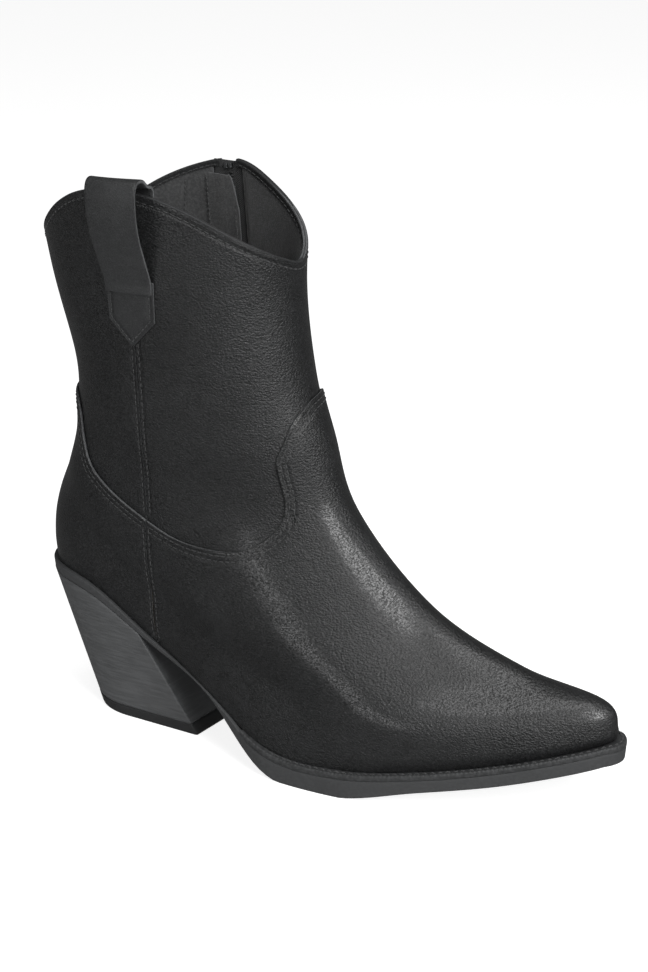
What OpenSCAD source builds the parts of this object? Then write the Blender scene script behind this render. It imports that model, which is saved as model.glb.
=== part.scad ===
// Western ankle boot for the right foot, with a side zip and a slanted block heel.
// X runs from heel to toe, Y towards the inner side of the foot, Z up.
// The upper is cut from one foot form: a skin point has an angle round the form,
// 0 at the front and 90 at the inner side, and a station, 0 at the sole and 9 at the rim.

/* [Foot form] */
// Length of the foot form at the sole
form_len = 288; // [230:1:350]
// Greatest width of the foot form at the ball
ball_w = 90; // [74:1:110]
// Width of the shaft at its rim
shaft_w = 91; // [75:1:110]
// Height of the heel seat above the floor
seat_h = 73; // [60:1:88]
// Height of the sole edge of the form at the ball
ball_h = 12; // [11:0.5:14]
// Height of the sole edge of the form at the toe tip
toe_h = 32.5; // [26:0.5:40]
// Height of the side peaks of the rim above the floor
rim_h = 262; // [218:1:315]

/* [Upper] */
// Thickness of the outer leather
leather_t = 1.3; // [1:0.1:1.6]
// Thickness of the lining
lining_t = 0.8; // [0.6:0.1:1]
// Thickness of the toe puff, heel stiffener and backing cloth
stiffener_t = 0.9; // [0.6:0.1:1.1]
// Gap left between layers
layer_gap = 0.25; // [0.2:0.05:0.3]
// How far a foxing edge laps over the shaft, in stations
lap = 0.55; // [0.45:0.05:0.65]
// Width of the margin that is turned under the insole
lasting_w = 11; // [8:0.5:13]
// Distance of the outer side seam from the back of the form
seam_x = 75; // [65:1:85]

/* [Pull strap] */
// Width of the strap
strap_w = 23.5; // [18:0.5:30]
// Thickness of the strap
strap_t = 1.6; // [1.2:0.1:2]
// How far the loop stands off the shaft
strap_reach = 14.5; // [10:0.5:18]
// Height of the top of the loop above the rim, in stations
strap_rise = 0.15; // [0.12:0.01:0.25]

/* [Zip] */
// Width of the slot between the leather edges
zip_slot = 10; // [9.5:0.5:12]
// Width of one half of the tape
tape_w = 7; // [6:0.5:9]
// Thickness of the tape
tape_t = 0.5; // [0.4:0.1:0.6]
// Width of one row of the coil
coil_w = 1.4; // [1.2:0.1:1.6]
// Thickness of the coil
coil_t = 1.6; // [1.4:0.1:1.8]
// Gap between the two rows of the coil
coil_gap = 1.2; // [1.1:0.1:1.4]
// Length of the slider body
slider_l = 11; // [9:0.5:13]
// Width of the slider body
slider_w = 8.4; // [7:0.2:8.8]
// Length of the pull tab
pull_l = 24; // [16:1:30]
// Radius of the pin that the pull tab swings on
pull_pin_r = 0.8; // [0.7:0.05:0.9]

/* [Sole] */
// Thickness of the outsole under the heel seat
outsole_heel_t = 5; // [4:0.5:6]
// Thickness of the outsole at the waist
outsole_waist_t = 2; // [1.8:0.1:3]
// Thickness of the welt and outsole together at the toe
forepart_t = 9; // [8:0.5:11]
// Extra depth of the tread under the ball
tread_t = 3.2; // [3:0.1:4]
// Thickness of the welt
welt_t = 2.6; // [2:0.1:3]
// How far the welt stands out round the forepart
welt_out = 3.8; // [2.5:0.1:5]
// Thickness of the insole board
insole_t = 1.9; // [1.5:0.1:2.5]
// Thickness of the sock liner
sock_t = 1.2; // [0.8:0.1:1.6]
// Thickness of the foam heel pad
heel_pad_t = 3; // [2:0.5:4]
// Width of the steel shank
shank_w = 12; // [10:0.5:16]

/* [Heel] */
// Distance from the back of the form to the front face of the heel, at its top
heel_top_len = 66; // [58:1:74]
// Setback of the heel base from the back of the form
heel_setback = 23; // [18:1:28]
// Length of the heel base
heel_base_len = 68; // [56:1:76]
// Width of the heel base
heel_base_w = 42.5; // [36:0.5:50]
// Thickness of the top lift
lift_t = 5.5; // [4:0.5:7]

/* [Hidden] */
$fn = 32;
eps = 0.02;

// Colours
BLACK_LEATHER = "#232425";
BLACK_LINING = "#3a3b3c";
BLACK_RUBBER = "#2c2d2e";
BOARD = "#8a7457";
STEEL = "#8d9092";
CORK = "#b08a5b";

// --- Foot form: ten stations from the sole edge to the rim ---
len_scale = form_len / 288;
foot_scale = ball_w / 90;
shaft_scale = shaft_w / 91;
// Share of the height from heel seat to rim at the back, and from toe to rim at the front
BACK_RISE = [0, .06, .125, .19, .265, .353, .451, .56, .761, 1];
FRONT_RISE = [0, .028, .077, .111, .197, .368, .519, .636, .805, 1];
// Back curve and instep curve, measured from the heel point of the sole edge
BACK_X = [0, -1, 0, 3.5, 10, 17.5, 18.5, 17, 6.5, -3];
FRONT_X = [288, 290, 284, 248.5, 204, 163, 149, 139.5, 134, 137];
// How much of the sole's curve a station still follows, and its sway to the inner side
SOLE_SHARE = [1, .97, .91, .75, .5, .25, .1, 0, 0, 0];
SWAY = [16.5, 14.5, 14, 9.5, 4.5, 1.5, 0, 0, 0, 0];
// Fullness of each station, from the back to the front
FULLNESS = [[58, 34, 44, 44, 32.5], [58.5, 37, 42.5, 45, 31], [57.5, 38, 40, 44.5, 25.5],
  [53.5, 38, 37, 41.5, 22.5], [49.5, 38, 36, 36, 24.5], [45.5, 38, 35.2, 32.3, 27.5],
  [44, 39.6, 37.4, 35.3, 32], [42.5, 41.2, 39.2, 38.2, 37.5], [45.5, 43.8, 42.1, 41.2, 42.5],
  [48, 45.6, 45.5, 41.5, 44.5]];
// Sole curve in eighths from heel to toe: share of the heel height and of the toe height
SHANK_CURVE = [1, .925, .58, .3, .02, 0, 0, 0, 0];
TOE_CURVE = [0, 0, 0, 0, .02, 0, .24, .57, 1];

LAST_STATION = 9;
function width_scale(k) = k < 5 ? foot_scale : shaft_scale;
STATIONS = [for (k = [0:LAST_STATION]) concat(
  [BACK_X[k] * len_scale, seat_h + BACK_RISE[k] * (rim_h - seat_h),
   FRONT_X[k] * len_scale, toe_h + FRONT_RISE[k] * (rim_h - toe_h), SOLE_SHARE[k],
   SWAY[k] * width_scale(k)], FULLNESS[k] * width_scale(k))];
SOLE_SAG = [for (i = [0:8]) ball_h + (seat_h - ball_h) * SHANK_CURVE[i]
  + (toe_h - ball_h) * TOE_CURVE[i] - (seat_h + (toe_h - seat_h) * i / 8)];

// Smooth curve through a list of numbers or vectors, at position t
function knot(list, i) = let(n = len(list))
  i < 0 ? 2 * list[0] - list[1] : i >= n ? 2 * list[n - 1] - list[n - 2] : list[i];
function spline(a, b, c, d, u) =
  0.5 * (2 * b + (c - a) * u + (2 * a - 5 * b + 4 * c - d) * u * u + (3 * b - a - 3 * c + d) * u * u * u);
function flow(list, t) = let(i = max(0, min(len(list) - 2, floor(t))))
  spline(knot(list, i - 1), knot(list, i), knot(list, i + 1), knot(list, i + 2), t - i);
function unit(v) = v / norm(v);
function clamp01(t) = max(0, min(1, t));
function smooth(t) = let(c = clamp01(t)) c * c * (3 - 2 * c);

function depth(phi) = (1 + cos(phi)) / 2;
function fullness(r, t) = flow([r[6], r[7], r[8], r[9], r[10]], 4 * t);
function form_point(phi, v) = let(r = flow(STATIONS, v), t = depth(phi))
  [r[0] + t * (r[2] - r[0]), r[5] * t * t + sin(phi) * fullness(r, t),
   r[1] + t * (r[3] - r[1]) + r[4] * flow(SOLE_SAG, 8 * t)];
function form_normal(phi, v) = unit(cross(form_point(phi + 1, v) - form_point(phi - 1, v),
  form_point(phi, v + .03) - form_point(phi, max(0, v - .03))));
function plan_normal(phi) = let(d = form_point(phi + 1, 0) - form_point(phi - 1, 0)) unit([d.y, -d.x, 0]);
// Height of the form's sole at a distance x from the heel point
function sole_z(x) = let(t = clamp01(x / form_len)) seat_h + (toe_h - seat_h) * t + flow(SOLE_SAG, 8 * t);
// Sole edge set in by m towards the middle, for parts inside the boot
function inner_edge(phi, m) = let(r = STATIONS[0], t = depth(phi))
  [m + t * (form_len - 2 * m), r[5] * t * t + sin(phi) * fullness(r, t) * (1 - m / (ball_w / 2))];
// Sole edge moved out by m, for parts outside the boot
function outer_edge(phi, m) = let(p = form_point(phi, 0) + m * plan_normal(phi)) [p.x, p.y];
function at_sole(p, dz) = [p.x, p.y, sole_z(p.x) + dz];
// Gap between flat pieces that lie on each other
seat_gap = .2;
// A point of a layer at offset o from the form; negative stations are the margin under the insole
function skin_point(phi, v, o) =
  v > 0 ? form_point(phi, v) + o * form_normal(phi, v) :
  v == 0 ? form_point(phi, 0) + o * plan_normal(phi) + [0, 0, seat_gap - o] :
  at_sole(inner_edge(phi, -v * lasting_w), seat_gap - o);
// Angle at which station v is at distance x from the heel point, on the inner side
function angle_at(x, v) = let(r = flow(STATIONS, v))
  acos(max(-1, min(1, 2 * (x - r[0]) / (r[2] - r[0]) - 1)));

// --- Edges cut in the upper, as angle and station ---
RIM = [[-180, 8.25], [-165, 8.29], [-150, 8.4], [-135, 8.58], [-120, 8.79], [-106, 8.94], [-88, 9.02],
  [-74, 8.95], [-60, 8.81], [-46, 8.65], [-32, 8.51], [-14, 8.36], [8, 8.24], [26, 8.4], [46, 8.63],
  [62, 8.82], [80, 9.01], [92, 9], [106, 8.9], [120, 8.76], [135, 8.57], [150, 8.4], [165, 8.29], [180, 8.25]];
FOXING = [[-180, 6.2], [-152, 6.1], [-144, 5.8], [-142, 5.2], [-135, 4.62], [-127, 4.52], [-106, 4.5],
  [-92, 4.58], [-75, 4.61], [-67, 4.67], [-57, 4.8], [-47, 4.98], [-41, 5.22], [-40.2, 5.45], [-39.8, 5.74],
  [-30, 6.12], [-23, 6.36], [-12, 6.54], [0, 6.69], [24, 6.69], [36, 6.54], [47, 6.36], [54, 6.12],
  [63.8, 5.74], [64.2, 5.45], [65, 5.22], [71, 4.98], [81, 4.8], [91, 4.67], [99, 4.61], [116, 4.56],
  [127, 4.52], [135, 4.62], [142, 5.2], [144, 5.8], [152, 6.1], [180, 6.2]];
function turn(phi) = phi > 180 ? phi - 360 : phi;
function rim(phi) = lookup(turn(phi), RIM);
function foxing(phi) = lookup(turn(phi), FOXING);

// --- Zip line: straight, from under the foxing to just below the rim ---
zip_low = form_point(95, 4.75);
zip_high = form_point(89, 8.9);
zip_dir = unit(zip_high - zip_low);
zip_len = norm(zip_high - zip_low);
zip_out = unit(form_normal(90, 7) - (form_normal(90, 7) * zip_dir) * zip_dir);
zip_side = cross(zip_out, zip_dir);
// Distance from the heel point of a line beside the zip, dx in front of it
function zip_x(v, dx) = let(p = form_point(90, v))
  zip_low.x + (p.z - zip_low.z) / (zip_high.z - zip_low.z) * (zip_high.x - zip_low.x) + dx;
function zip_angle(v, dx) = angle_at(zip_x(v, dx), v);
function seam_angle(v) = -angle_at(seam_x * len_scale, v);

// --- Origin: middle of the whole boot's footprint, on the floor ---
RING_STEP = 4;
RING = [0:RING_STEP:360 - RING_STEP];
SOLE_OUT = [2, 2, 1.5, 1, 2.7, welt_out, welt_out, welt_out, welt_out + 1];
function sole_out(t) = flow(SOLE_OUT, 8 * t);
function sole_edge(phi) = outer_edge(phi, sole_out(depth(phi)));
strap_out = max([for (v = [8.8, 8.9, 9]) -form_point(-85, v).y]) + strap_reach + strap_t / 2;
edge_x = [for (a = RING) sole_edge(a).x];
edge_y = [for (a = RING) sole_edge(a).y];
ORIGIN = [(min(edge_x) + max(edge_x)) / 2, (max(edge_y) - max(strap_out, -min(edge_y))) / 2, 0];

// Closed shell from two matching grids of points: top[i][j] outside and base[i][j] inside
module shell(top, base) {
  n = len(top);
  m = len(top[0]);
  o = n * m;
  function q(a, b, c, d) = [[a, b, c], [a, c, d]];
  outside = [for (i = [0:n - 2], j = [0:m - 2]) each
    q(i * m + j, i * m + j + 1, (i + 1) * m + j + 1, (i + 1) * m + j)];
  inside = [for (i = [0:n - 2], j = [0:m - 2]) each
    q(o + i * m + j, o + (i + 1) * m + j, o + (i + 1) * m + j + 1, o + i * m + j + 1)];
  ends = [for (i = [0:n - 2]) each concat(
    q(i * m, (i + 1) * m, o + (i + 1) * m, o + i * m),
    q(i * m + m - 1, o + i * m + m - 1, o + (i + 1) * m + m - 1, (i + 1) * m + m - 1))];
  sides = [for (j = [0:m - 2]) each concat(
    q(j, o + j, o + j + 1, j + 1),
    q((n - 1) * m + j, (n - 1) * m + j + 1, o + (n - 1) * m + j + 1, o + (n - 1) * m + j))];
  polyhedron(points = concat([for (c = top) each c], [for (c = base) each c]),
    faces = concat(outside, inside, ends, sides), convexity = 10);
}

// A layer of the upper: grid(a) lists [angle, station] up one column, low and high are its offsets
module skin(columns, grid, low, high) {
  cells = [for (a = columns) grid(a)];
  shell([for (c = cells) [for (p = c) skin_point(p.x, p.y, high(p))]],
    [for (c = cells) [for (p = c) skin_point(p.x, p.y, low(p))]]);
}

// Slab between two closed rings that mirror about their first point
module slab(top, base) {
  n = len(top);
  h = n / 2;
  walls = [for (i = [0:n - 1]) let(k = (i + 1) % n) each [[i, n + i, n + k], [i, n + k, k]]];
  lids = [for (i = [1:h - 2]) each [[i, i + 1, n - i], [i + 1, n - i - 1, n - i]]];
  tips = [[0, 1, n - 1], [h - 1, h, h + 1]];
  faces = concat(lids, tips);
  polyhedron(points = concat(top, base), convexity = 6,
    faces = concat([for (f = faces) [f[2], f[1], f[0]]], [for (f = faces) [n + f[0], n + f[1], n + f[2]]],
      [for (f = walls) [f[2], f[1], f[0]]]));
}

// Strip swept through four-cornered sections
module strip(sections) {
  n = len(sections);
  sides = [for (i = [0:n - 2], k = [0:3]) let(a = 4 * i + k, b = 4 * i + (k + 1) % 4)
    each [[a, b, b + 4], [a, b + 4, a + 4]]];
  caps = [[0, 3, 2], [0, 2, 1], [4 * n - 4, 4 * n - 3, 4 * n - 2], [4 * n - 4, 4 * n - 2, 4 * n - 1]];
  polyhedron(points = [for (s = sections) each s], faces = concat(sides, caps), convexity = 6);
}

module placed() { translate(-ORIGIN) children(); }
module in_zip_frame(height) {
  p = zip_low + zip_dir * height;
  placed() multmatrix([[zip_side.x, zip_out.x, zip_dir.x, p.x], [zip_side.y, zip_out.y, zip_dir.y, p.y],
    [zip_side.z, zip_out.z, zip_dir.z, p.z], [0, 0, 0, 1]]) children();
}

function shares(n) = [for (i = [0:n]) i / n];
function mix(a, b, s) = a + (b - a) * s;
// Columns that follow a cut edge closely between two angles
function edge_columns(from, to) =
  concat([from], [for (k = FOXING) if (k.x > from + 1 && k.x < to - 1) k.x], [to]);

// --- Outer leather ---
// The shaft is cut a little below the foxing edge, and below its lowest point nearby on a steep edge
WINDOW = [-8:4:8];
function shaft_low(a) = min([for (d = WINDOW) foxing(a + d)]) - lap * .8;
FOOT_ROWS = [.5:.5:3.5];
function foxing_rows(edge) = concat([-1, -.5, 0], [for (v = FOOT_ROWS) v],
  [for (s = [1:6]) mix(3.5, edge - .8 * lap, s / 6)], [edge - .4 * lap, edge]);
// The foxing lies on the form, and rises over the shaft where it laps it
function foxing_lift(p) = (leather_t + layer_gap) * smooth((p.y - shaft_low(p.x)) / lap + 1.7);
module foxing_panel(columns, bend) {
  skin(columns, function(a) [for (v = foxing_rows(foxing(a))) [bend(a, v), v]],
    function(p) foxing_lift(p) - leather_t, function(p) foxing_lift(p));
}
// Every cut angle, with more between those that are far apart
COLUMN_STEP = 5;
FOXING_COLUMNS = [for (i = [0:len(FOXING) - 2]) let(a = FOXING[i].x, b = FOXING[i + 1].x,
  n = ceil((b - a) / COLUMN_STEP))
  each [for (k = [0:n - 1]) a + (b - a) * k / n]];
// Columns turn towards the side seams between an angle that stays and the one that meets the seam
SEAM_COLUMN = 110;
VAMP_STAYS = 80;
COUNTER_STAYS = 135;
seam_gap = .4;
function stretch(a, stays, meets) = mix(stays, meets, clamp01((a - stays) / (SEAM_COLUMN - stays)));

module vamp() {
  columns = concat([-SEAM_COLUMN], [for (c = FOXING_COLUMNS) if (abs(c) < SEAM_COLUMN - 2) c], [SEAM_COLUMN]);
  function bend(a, v) = abs(a) < VAMP_STAYS ? a
    : sign(a) * stretch(abs(a), VAMP_STAYS, -seam_angle(max(0, v)));
  color(BLACK_LEATHER) placed() foxing_panel(columns, function(a, v) bend(a, v));
}
module heel_counter() {
  columns = concat([SEAM_COLUMN], [for (c = FOXING_COLUMNS) if (c > SEAM_COLUMN + 2) c],
    [for (c = FOXING_COLUMNS) if (c < -SEAM_COLUMN - 2) c + 360], [360 - SEAM_COLUMN]);
  function half(a, v) = a > COUNTER_STAYS ? a
    : stretch(a, COUNTER_STAYS, seam_gap - seam_angle(max(0, v)));
  function bend(a, v) = a < 180 ? half(a, v) : 360 - half(360 - a, v);
  color(BLACK_LEATHER) placed() foxing_panel(columns, function(a, v) bend(a, v));
}

// A shaft panel between two side edges, each given as an angle by station
module shaft_part(steps, from, to, low_cut, high_cut, low, high) {
  function column(s, v) = mix(from(v), to(v), s);
  function foot(s) = low_cut(column(s, low_cut(column(s, 6.5))));
  skin(shares(steps), function(s) [for (v = [for (r = shares(12)) mix(foot(s), high_cut(column(s, 8.9)), r)])
      [column(s, v), v]],
    function(p) low, function(p) high);
}
module shaft_front() {
  color(BLACK_LEATHER) placed() shaft_part(28, function(v) seam_angle(v) + seam_gap / 2,
    function(v) zip_angle(v, zip_slot / 2), function(a) shaft_low(a), function(a) rim(a), -leather_t, 0);
}
module shaft_back() {
  color(BLACK_LEATHER) placed() shaft_part(24, function(v) zip_angle(v, -zip_slot / 2),
    function(v) 360 + seam_angle(v) - seam_gap / 2,
    function(a) shaft_low(a), function(a) rim(a), -leather_t, 0);
}

// --- Pull strap and its pointed patch, on the outer side ---
STRAP_STATION = 8;
PATCH_SIDE = 7.68;
PATCH_POINT = 7.38;
patch_t = 1.1;
strap_mid = seam_x * len_scale - .5;
function strap_x(s) = strap_mid + (s - .5) * strap_w;
module strap_patch() {
  lift = layer_gap;
  color(BLACK_LEATHER) placed() skin([0, .25, .5, .75, 1],
    function(s) [for (r = shares(5)) let(v = mix(PATCH_SIDE - (PATCH_SIDE - PATCH_POINT) * (1 - abs(2 * s - 1)),
      STRAP_STATION + .12, r)) [-angle_at(strap_x(s), v), v]],
    function(p) lift, function(p) lift + patch_t);
}
// Middle line of the loop, as station and offset from the form
strap_base = layer_gap * 2 + patch_t + strap_t / 2;
strap_top = LAST_STATION + strap_rise;
strap_under = -leather_t - lining_t - layer_gap * 2.5 - strap_t / 2;
STRAP_PATH = [[STRAP_STATION, strap_base], [STRAP_STATION + .14, strap_base + .4],
  [STRAP_STATION + .36, strap_reach * .46], [STRAP_STATION + .6, strap_reach * .78],
  [STRAP_STATION + .82, strap_reach * .96], [LAST_STATION + .02, strap_reach],
  [strap_top - .03, strap_reach * .86], [strap_top, strap_reach * .64], [strap_top - .02, strap_reach * .36],
  [strap_top - .08, strap_reach * .12], [LAST_STATION + .02, strap_under + .6],
  [LAST_STATION - .1, strap_under],
  [LAST_STATION - .35, strap_under], [LAST_STATION - .6, strap_under]];
STATION_RISE = 45;
function strap_line(t) = flow(STRAP_PATH, t);
function strap_side(t, h) = let(d = strap_line(t + .05) - strap_line(t - .05),
  n = unit([d.y, -STATION_RISE * d.x]),
  p = strap_line(t)) [p.x - n.x * h / STATION_RISE, p.y - n.y * h];
// The loop stands off in one direction all over its width, so that it keeps that width
function strap_point(s, p) = let(v = min(p.x, LAST_STATION))
  form_point(-angle_at(strap_x(s), v), p.x) + p.y * form_normal(-angle_at(strap_mid, v), p.x);
module pull_strap() {
  steps = [for (i = [0:.5:len(STRAP_PATH) - 1]) i];
  function wall(h) = [for (s = shares(4)) [for (t = steps) strap_point(s, strap_side(t, h))]];
  color(BLACK_LEATHER) placed() shell(wall(strap_t / 2), wall(-strap_t / 2));
}

// --- Zip ---
slide_gap = .3;
tape_level = -leather_t - layer_gap - tape_t / 2;
tape_inner = coil_gap / 2 + coil_w - .3;
// Straight beside the coil, where the slider runs, and against the leather beyond the slot
module tape(side) {
  straight_to = slider_w / 2 + slide_gap;
  widths = [tape_inner, straight_to, zip_slot / 2 + .3, tape_inner + tape_w];
  // Columns run from front to back
  columns = side > 0 ? [for (i = [3:-1:0]) widths[i]] : [for (w = widths) -w];
  rows = [for (s = shares(14)) mix(foxing(90) - lap * .6, rim(90) - .06, s)];
  function point(dx, v, o) = abs(dx) > straight_to ? skin_point(zip_angle(v, dx), v, o)
    : zip_low + zip_dir * ((form_point(zip_angle(v, dx), v) - zip_low) * zip_dir)
      + zip_side * dx + zip_out * o;
  function wall(o) = [for (dx = columns) [for (v = rows) point(dx, v, tape_level + o)]];
  color("#1f1f20") placed() shell(wall(tape_t / 2), wall(-tape_t / 2));
}
module zip_tape_front() { tape(1); }
module zip_tape_back() { tape(-1); }
module coil(side) {
  color("#1a1a1b") in_zip_frame(0) translate([side > 0 ? coil_gap / 2 : -coil_gap / 2 - coil_w,
    tape_level - coil_t / 2, 0]) cube([coil_w, coil_t, zip_len]);
}
module zip_coil_front() { coil(1); }
module zip_coil_back() { coil(-1); }

// Slider: two plates joined by a neck between the coil rows, with a bridge for the pull tab
plate_t = .9;
slider_top = zip_len - 8;
plate_out = tape_level + coil_t / 2 + slide_gap;
plate_in = tape_level - coil_t / 2 - slide_gap - plate_t;
neck_w = coil_gap - 2 * slide_gap;
eye_r = 1.9;
eye_w = 2.6;
post_t = 1;
pin_out = plate_out + plate_t + eye_r + slide_gap;
pin_drop = 3.6;
module slider_plate(level) {
  translate([-slider_w / 2, level, -slider_l]) cube([slider_w, plate_t, slider_l]);
}
module pin_axis(out) { translate([0, out, -pin_drop]) rotate([0, 90, 0]) children(); }
module zip_slider() {
  post_x = eye_w / 2 + slide_gap;
  color(STEEL) in_zip_frame(slider_top) union() {
    slider_plate(plate_out);
    slider_plate(plate_in);
    translate([-neck_w / 2, plate_in + eps, -4]) cube([neck_w, plate_out - plate_in + plate_t - 2 * eps, 4]);
    for (x = [-post_x - post_t, post_x])
      translate([x, plate_out + plate_t - eps, -pin_drop - eye_r])
        cube([post_t, eye_r + slide_gap + 1.2, 2 * eye_r]);
    pin_axis(pin_out) cylinder(r = pull_pin_r, h = 2 * (post_x + post_t), center = true);
  }
}
// Pull tab, hanging down beside the coil
pull_w = 5;
pull_t = 1.2;
pull_bore = pull_pin_r + .1;
module zip_pull() {
  color(STEEL) in_zip_frame(slider_top) difference() {
    union() {
      pin_axis(pin_out) cylinder(r = eye_r, h = eye_w, center = true);
      translate([-eye_w / 2, pin_out - pull_t / 2, -pin_drop - 7]) cube([eye_w, pull_t, 7]);
      translate([-pull_w / 2, pin_out - pull_t / 2, -pin_drop - pull_l]) cube([pull_w, pull_t, pull_l - 6]);
    }
    pin_axis(pin_out) cylinder(r = pull_bore, h = eye_w + 2, center = true);
    translate([0, pin_out, -pin_drop - pull_l + 3.5]) rotate([90, 0, 0])
      cylinder(r = 1.3, h = 4, center = true);
  }
}
// Stops clamp the tape ends: one over each coil row at the top, one across both at the bottom
stop_t = .5;
module zip_top_stops() {
  color(STEEL) in_zip_frame(zip_len + .2) for (side = [-1, 1])
    translate([side > 0 ? coil_gap / 2 - .2 : -coil_gap / 2 - coil_w - .2,
      tape_level - coil_t / 2 - stop_t, 0])
      cube([coil_w + .4, coil_t + 2 * stop_t, 2.4]);
}
module zip_bottom_stop() {
  w = coil_gap + 2 * coil_w;
  color(STEEL) in_zip_frame(-3.2)
    translate([-w / 2, tape_level - coil_t / 2, 0]) cube([w, coil_t, 3]);
}
// Flap inside the zip: sewn to the lining behind the coil and free in front of it
GUARD = [[6.5, 1], [3, 1], [0, 1], [-4, .95], [-8, .5], [-11, .05], [-14, 0]];
guard_t = .8;
module zip_guard() {
  rest = leather_t + lining_t + layer_gap * 2.5 + guard_t;
  stand = plate_in - slide_gap;
  function level(dx) = mix(-rest + guard_t, stand, lookup(dx, [for (i = [len(GUARD) - 1:-1:0]) GUARD[i]]));
  function head(dx) = .16 + (dx > 5 ? .22 : dx > 2 ? .06 : 0);
  color(BLACK_LINING) placed() skin([for (g = GUARD) g.x],
    function(dx) [for (s = shares(12)) let(v = mix(foxing(90) - lap * .4, rim(90) - head(dx), s))
      [zip_angle(v, dx), v]],
    function(p) level_at(p) - guard_t, function(p) level_at(p));
  function level_at(p) = let(r = flow(STATIONS, p.y), x = r[0] + depth(p.x) * (r[2] - r[0]))
    level(x - zip_x(p.y, 0));
}

// --- Linings and stiffening layers ---
shaft_lining_high = -leather_t - layer_gap;
foot_lining_high = -leather_t - stiffener_t - 2.4 * layer_gap;
lining_low_cut = 3.9;
lining_gap = tape_inner + tape_w + .5;
module lining_part(steps, from, to) {
  color(BLACK_LINING) placed() shaft_part(steps, from, to, function(a) lining_low_cut, function(a) rim(a),
    shaft_lining_high - lining_t, shaft_lining_high);
}
module shaft_lining_front() {
  lining_part(22, function(v) seam_angle(v) + seam_gap, function(v) zip_angle(v, lining_gap));
}
module shaft_lining_back() {
  lining_part(18, function(v) zip_angle(v, -lining_gap), function(v) 360 + seam_angle(v) - seam_gap);
}
// A layer of the foot: rows(a) lists the stations up the column at angle a
module foot_layer(columns, rows, high, thickness) {
  placed() skin(columns, function(a) [for (v = rows(a)) [a, v]],
    function(p) high - thickness, function(p) high);
}
FOOT_BOTTOM = .35;
FOOT_TOP = 4.2;
LAYER_TOP = 3.8;
LOW_ROWS = [FOOT_BOTTOM, 1, 1.5, 2];
function layer_rows(top) = top > 3 ? concat(LOW_ROWS, [for (s = shares(4)) mix(2.5, top, s)])
  : concat(LOW_ROWS, [top]);
LINING_SEAM = 125;
LINING_COLUMNS = concat([-LINING_SEAM], [for (c = FOXING_COLUMNS) if (abs(c) < LINING_SEAM - 2 && c != -40.2
  && c != 64.2) c], [LINING_SEAM]);
module foot_lining() {
  color(BLACK_LINING) foot_layer(LINING_COLUMNS, function(a) layer_rows(FOOT_TOP),
    foot_lining_high, lining_t);
}
module heel_lining() {
  from = LINING_SEAM + .8;
  color(BLACK_LINING) foot_layer([for (s = shares(14)) mix(from, 360 - from, s)],
    function(a) layer_rows(FOOT_TOP), foot_lining_high, lining_t);
}
PUFF_EDGE = 44;
PUFF_TOP = 2.5;
STIFFENER_EDGE = 116;
stiffener_high = -leather_t - layer_gap;
module toe_puff() {
  color(BOARD) foot_layer([for (c = LINING_COLUMNS) if (abs(c) < PUFF_EDGE) c],
    function(a) layer_rows(PUFF_TOP),
    stiffener_high, stiffener_t);
}
module heel_stiffener() {
  wing = .8;
  function top(a) = LAYER_TOP - wing * smooth((abs(a - 180) - 35) / 29);
  color(BOARD) foot_layer([for (s = shares(16)) mix(STIFFENER_EDGE, 360 - STIFFENER_EDGE, s)],
    function(a) [for (s = shares(7)) mix(FOOT_BOTTOM, top(a), s)], stiffener_high, stiffener_t);
}
module backing_cloth() {
  edge = STIFFENER_EDGE - 1.5;
  columns = concat([-edge], [for (c = LINING_COLUMNS) if (abs(c) < edge - 1) c], [edge]);
  color("#c9c4b8") foot_layer(columns, function(a)
    let(low = abs(a) < PUFF_EDGE ? PUFF_TOP + .06 : FOOT_BOTTOM)
    [for (s = shares(8)) mix(low, LAYER_TOP, s)], stiffener_high, stiffener_t);
}

// --- Inside the foot ---
function inner_ring(m, dz) = [for (a = RING) let(p = outer_edge(a, -m), z = dz(p.x)) at_sole(p, z)];
board_inset = leather_t + stiffener_t + lining_t + 8 * layer_gap;
board_low = leather_t + 2 * seat_gap;
board_high = board_low + insole_t;
module insole_board() {
  color(BOARD) placed() slab(inner_ring(board_inset, function(x) board_high),
    inner_ring(board_inset, function(x) board_low));
}
pad_end = 82;
pad_inset = 9;
pad_half_w = 20 * foot_scale;
module heel_pad() {
  ring = [for (a = RING) [pad_inset + depth(a) * (pad_end - pad_inset), sin(a) * pad_half_w]];
  color("#cfcabd") placed() slab([for (p = ring) at_sole(p, board_high + heel_pad_t)],
    [for (p = ring) at_sole(p, board_high + seat_gap)]);
}
module sock_liner() {
  function bed(x) = board_high + seat_gap + (heel_pad_t + seat_gap) * smooth((pad_end + 26 - x) / 22);
  color(BLACK_LINING) placed() slab(inner_ring(board_inset + .6, function(x) bed(x) + sock_t),
    inner_ring(board_inset + .6, function(x) bed(x)));
}
module shank() {
  from = .18;
  to = .44;
  color(STEEL) placed() strip([for (s = shares(14)) let(x = mix(from, to, s) * form_len,
    t = clamp01(x / form_len),
    y = STATIONS[0][5] * t * t, z = sole_z(x))
    [[x, y + shank_w / 2, z + seat_gap], [x, y - shank_w / 2, z + seat_gap],
    [x, y - shank_w / 2, z + leather_t], [x, y + shank_w / 2, z + leather_t]]]);
}
WELT_START = .42;
WELT_FULL = .47;
function welt_step(t) = welt_t * smooth((t - WELT_START) / (WELT_FULL - WELT_START));
function step_at(x) = welt_step(x / form_len);
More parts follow.
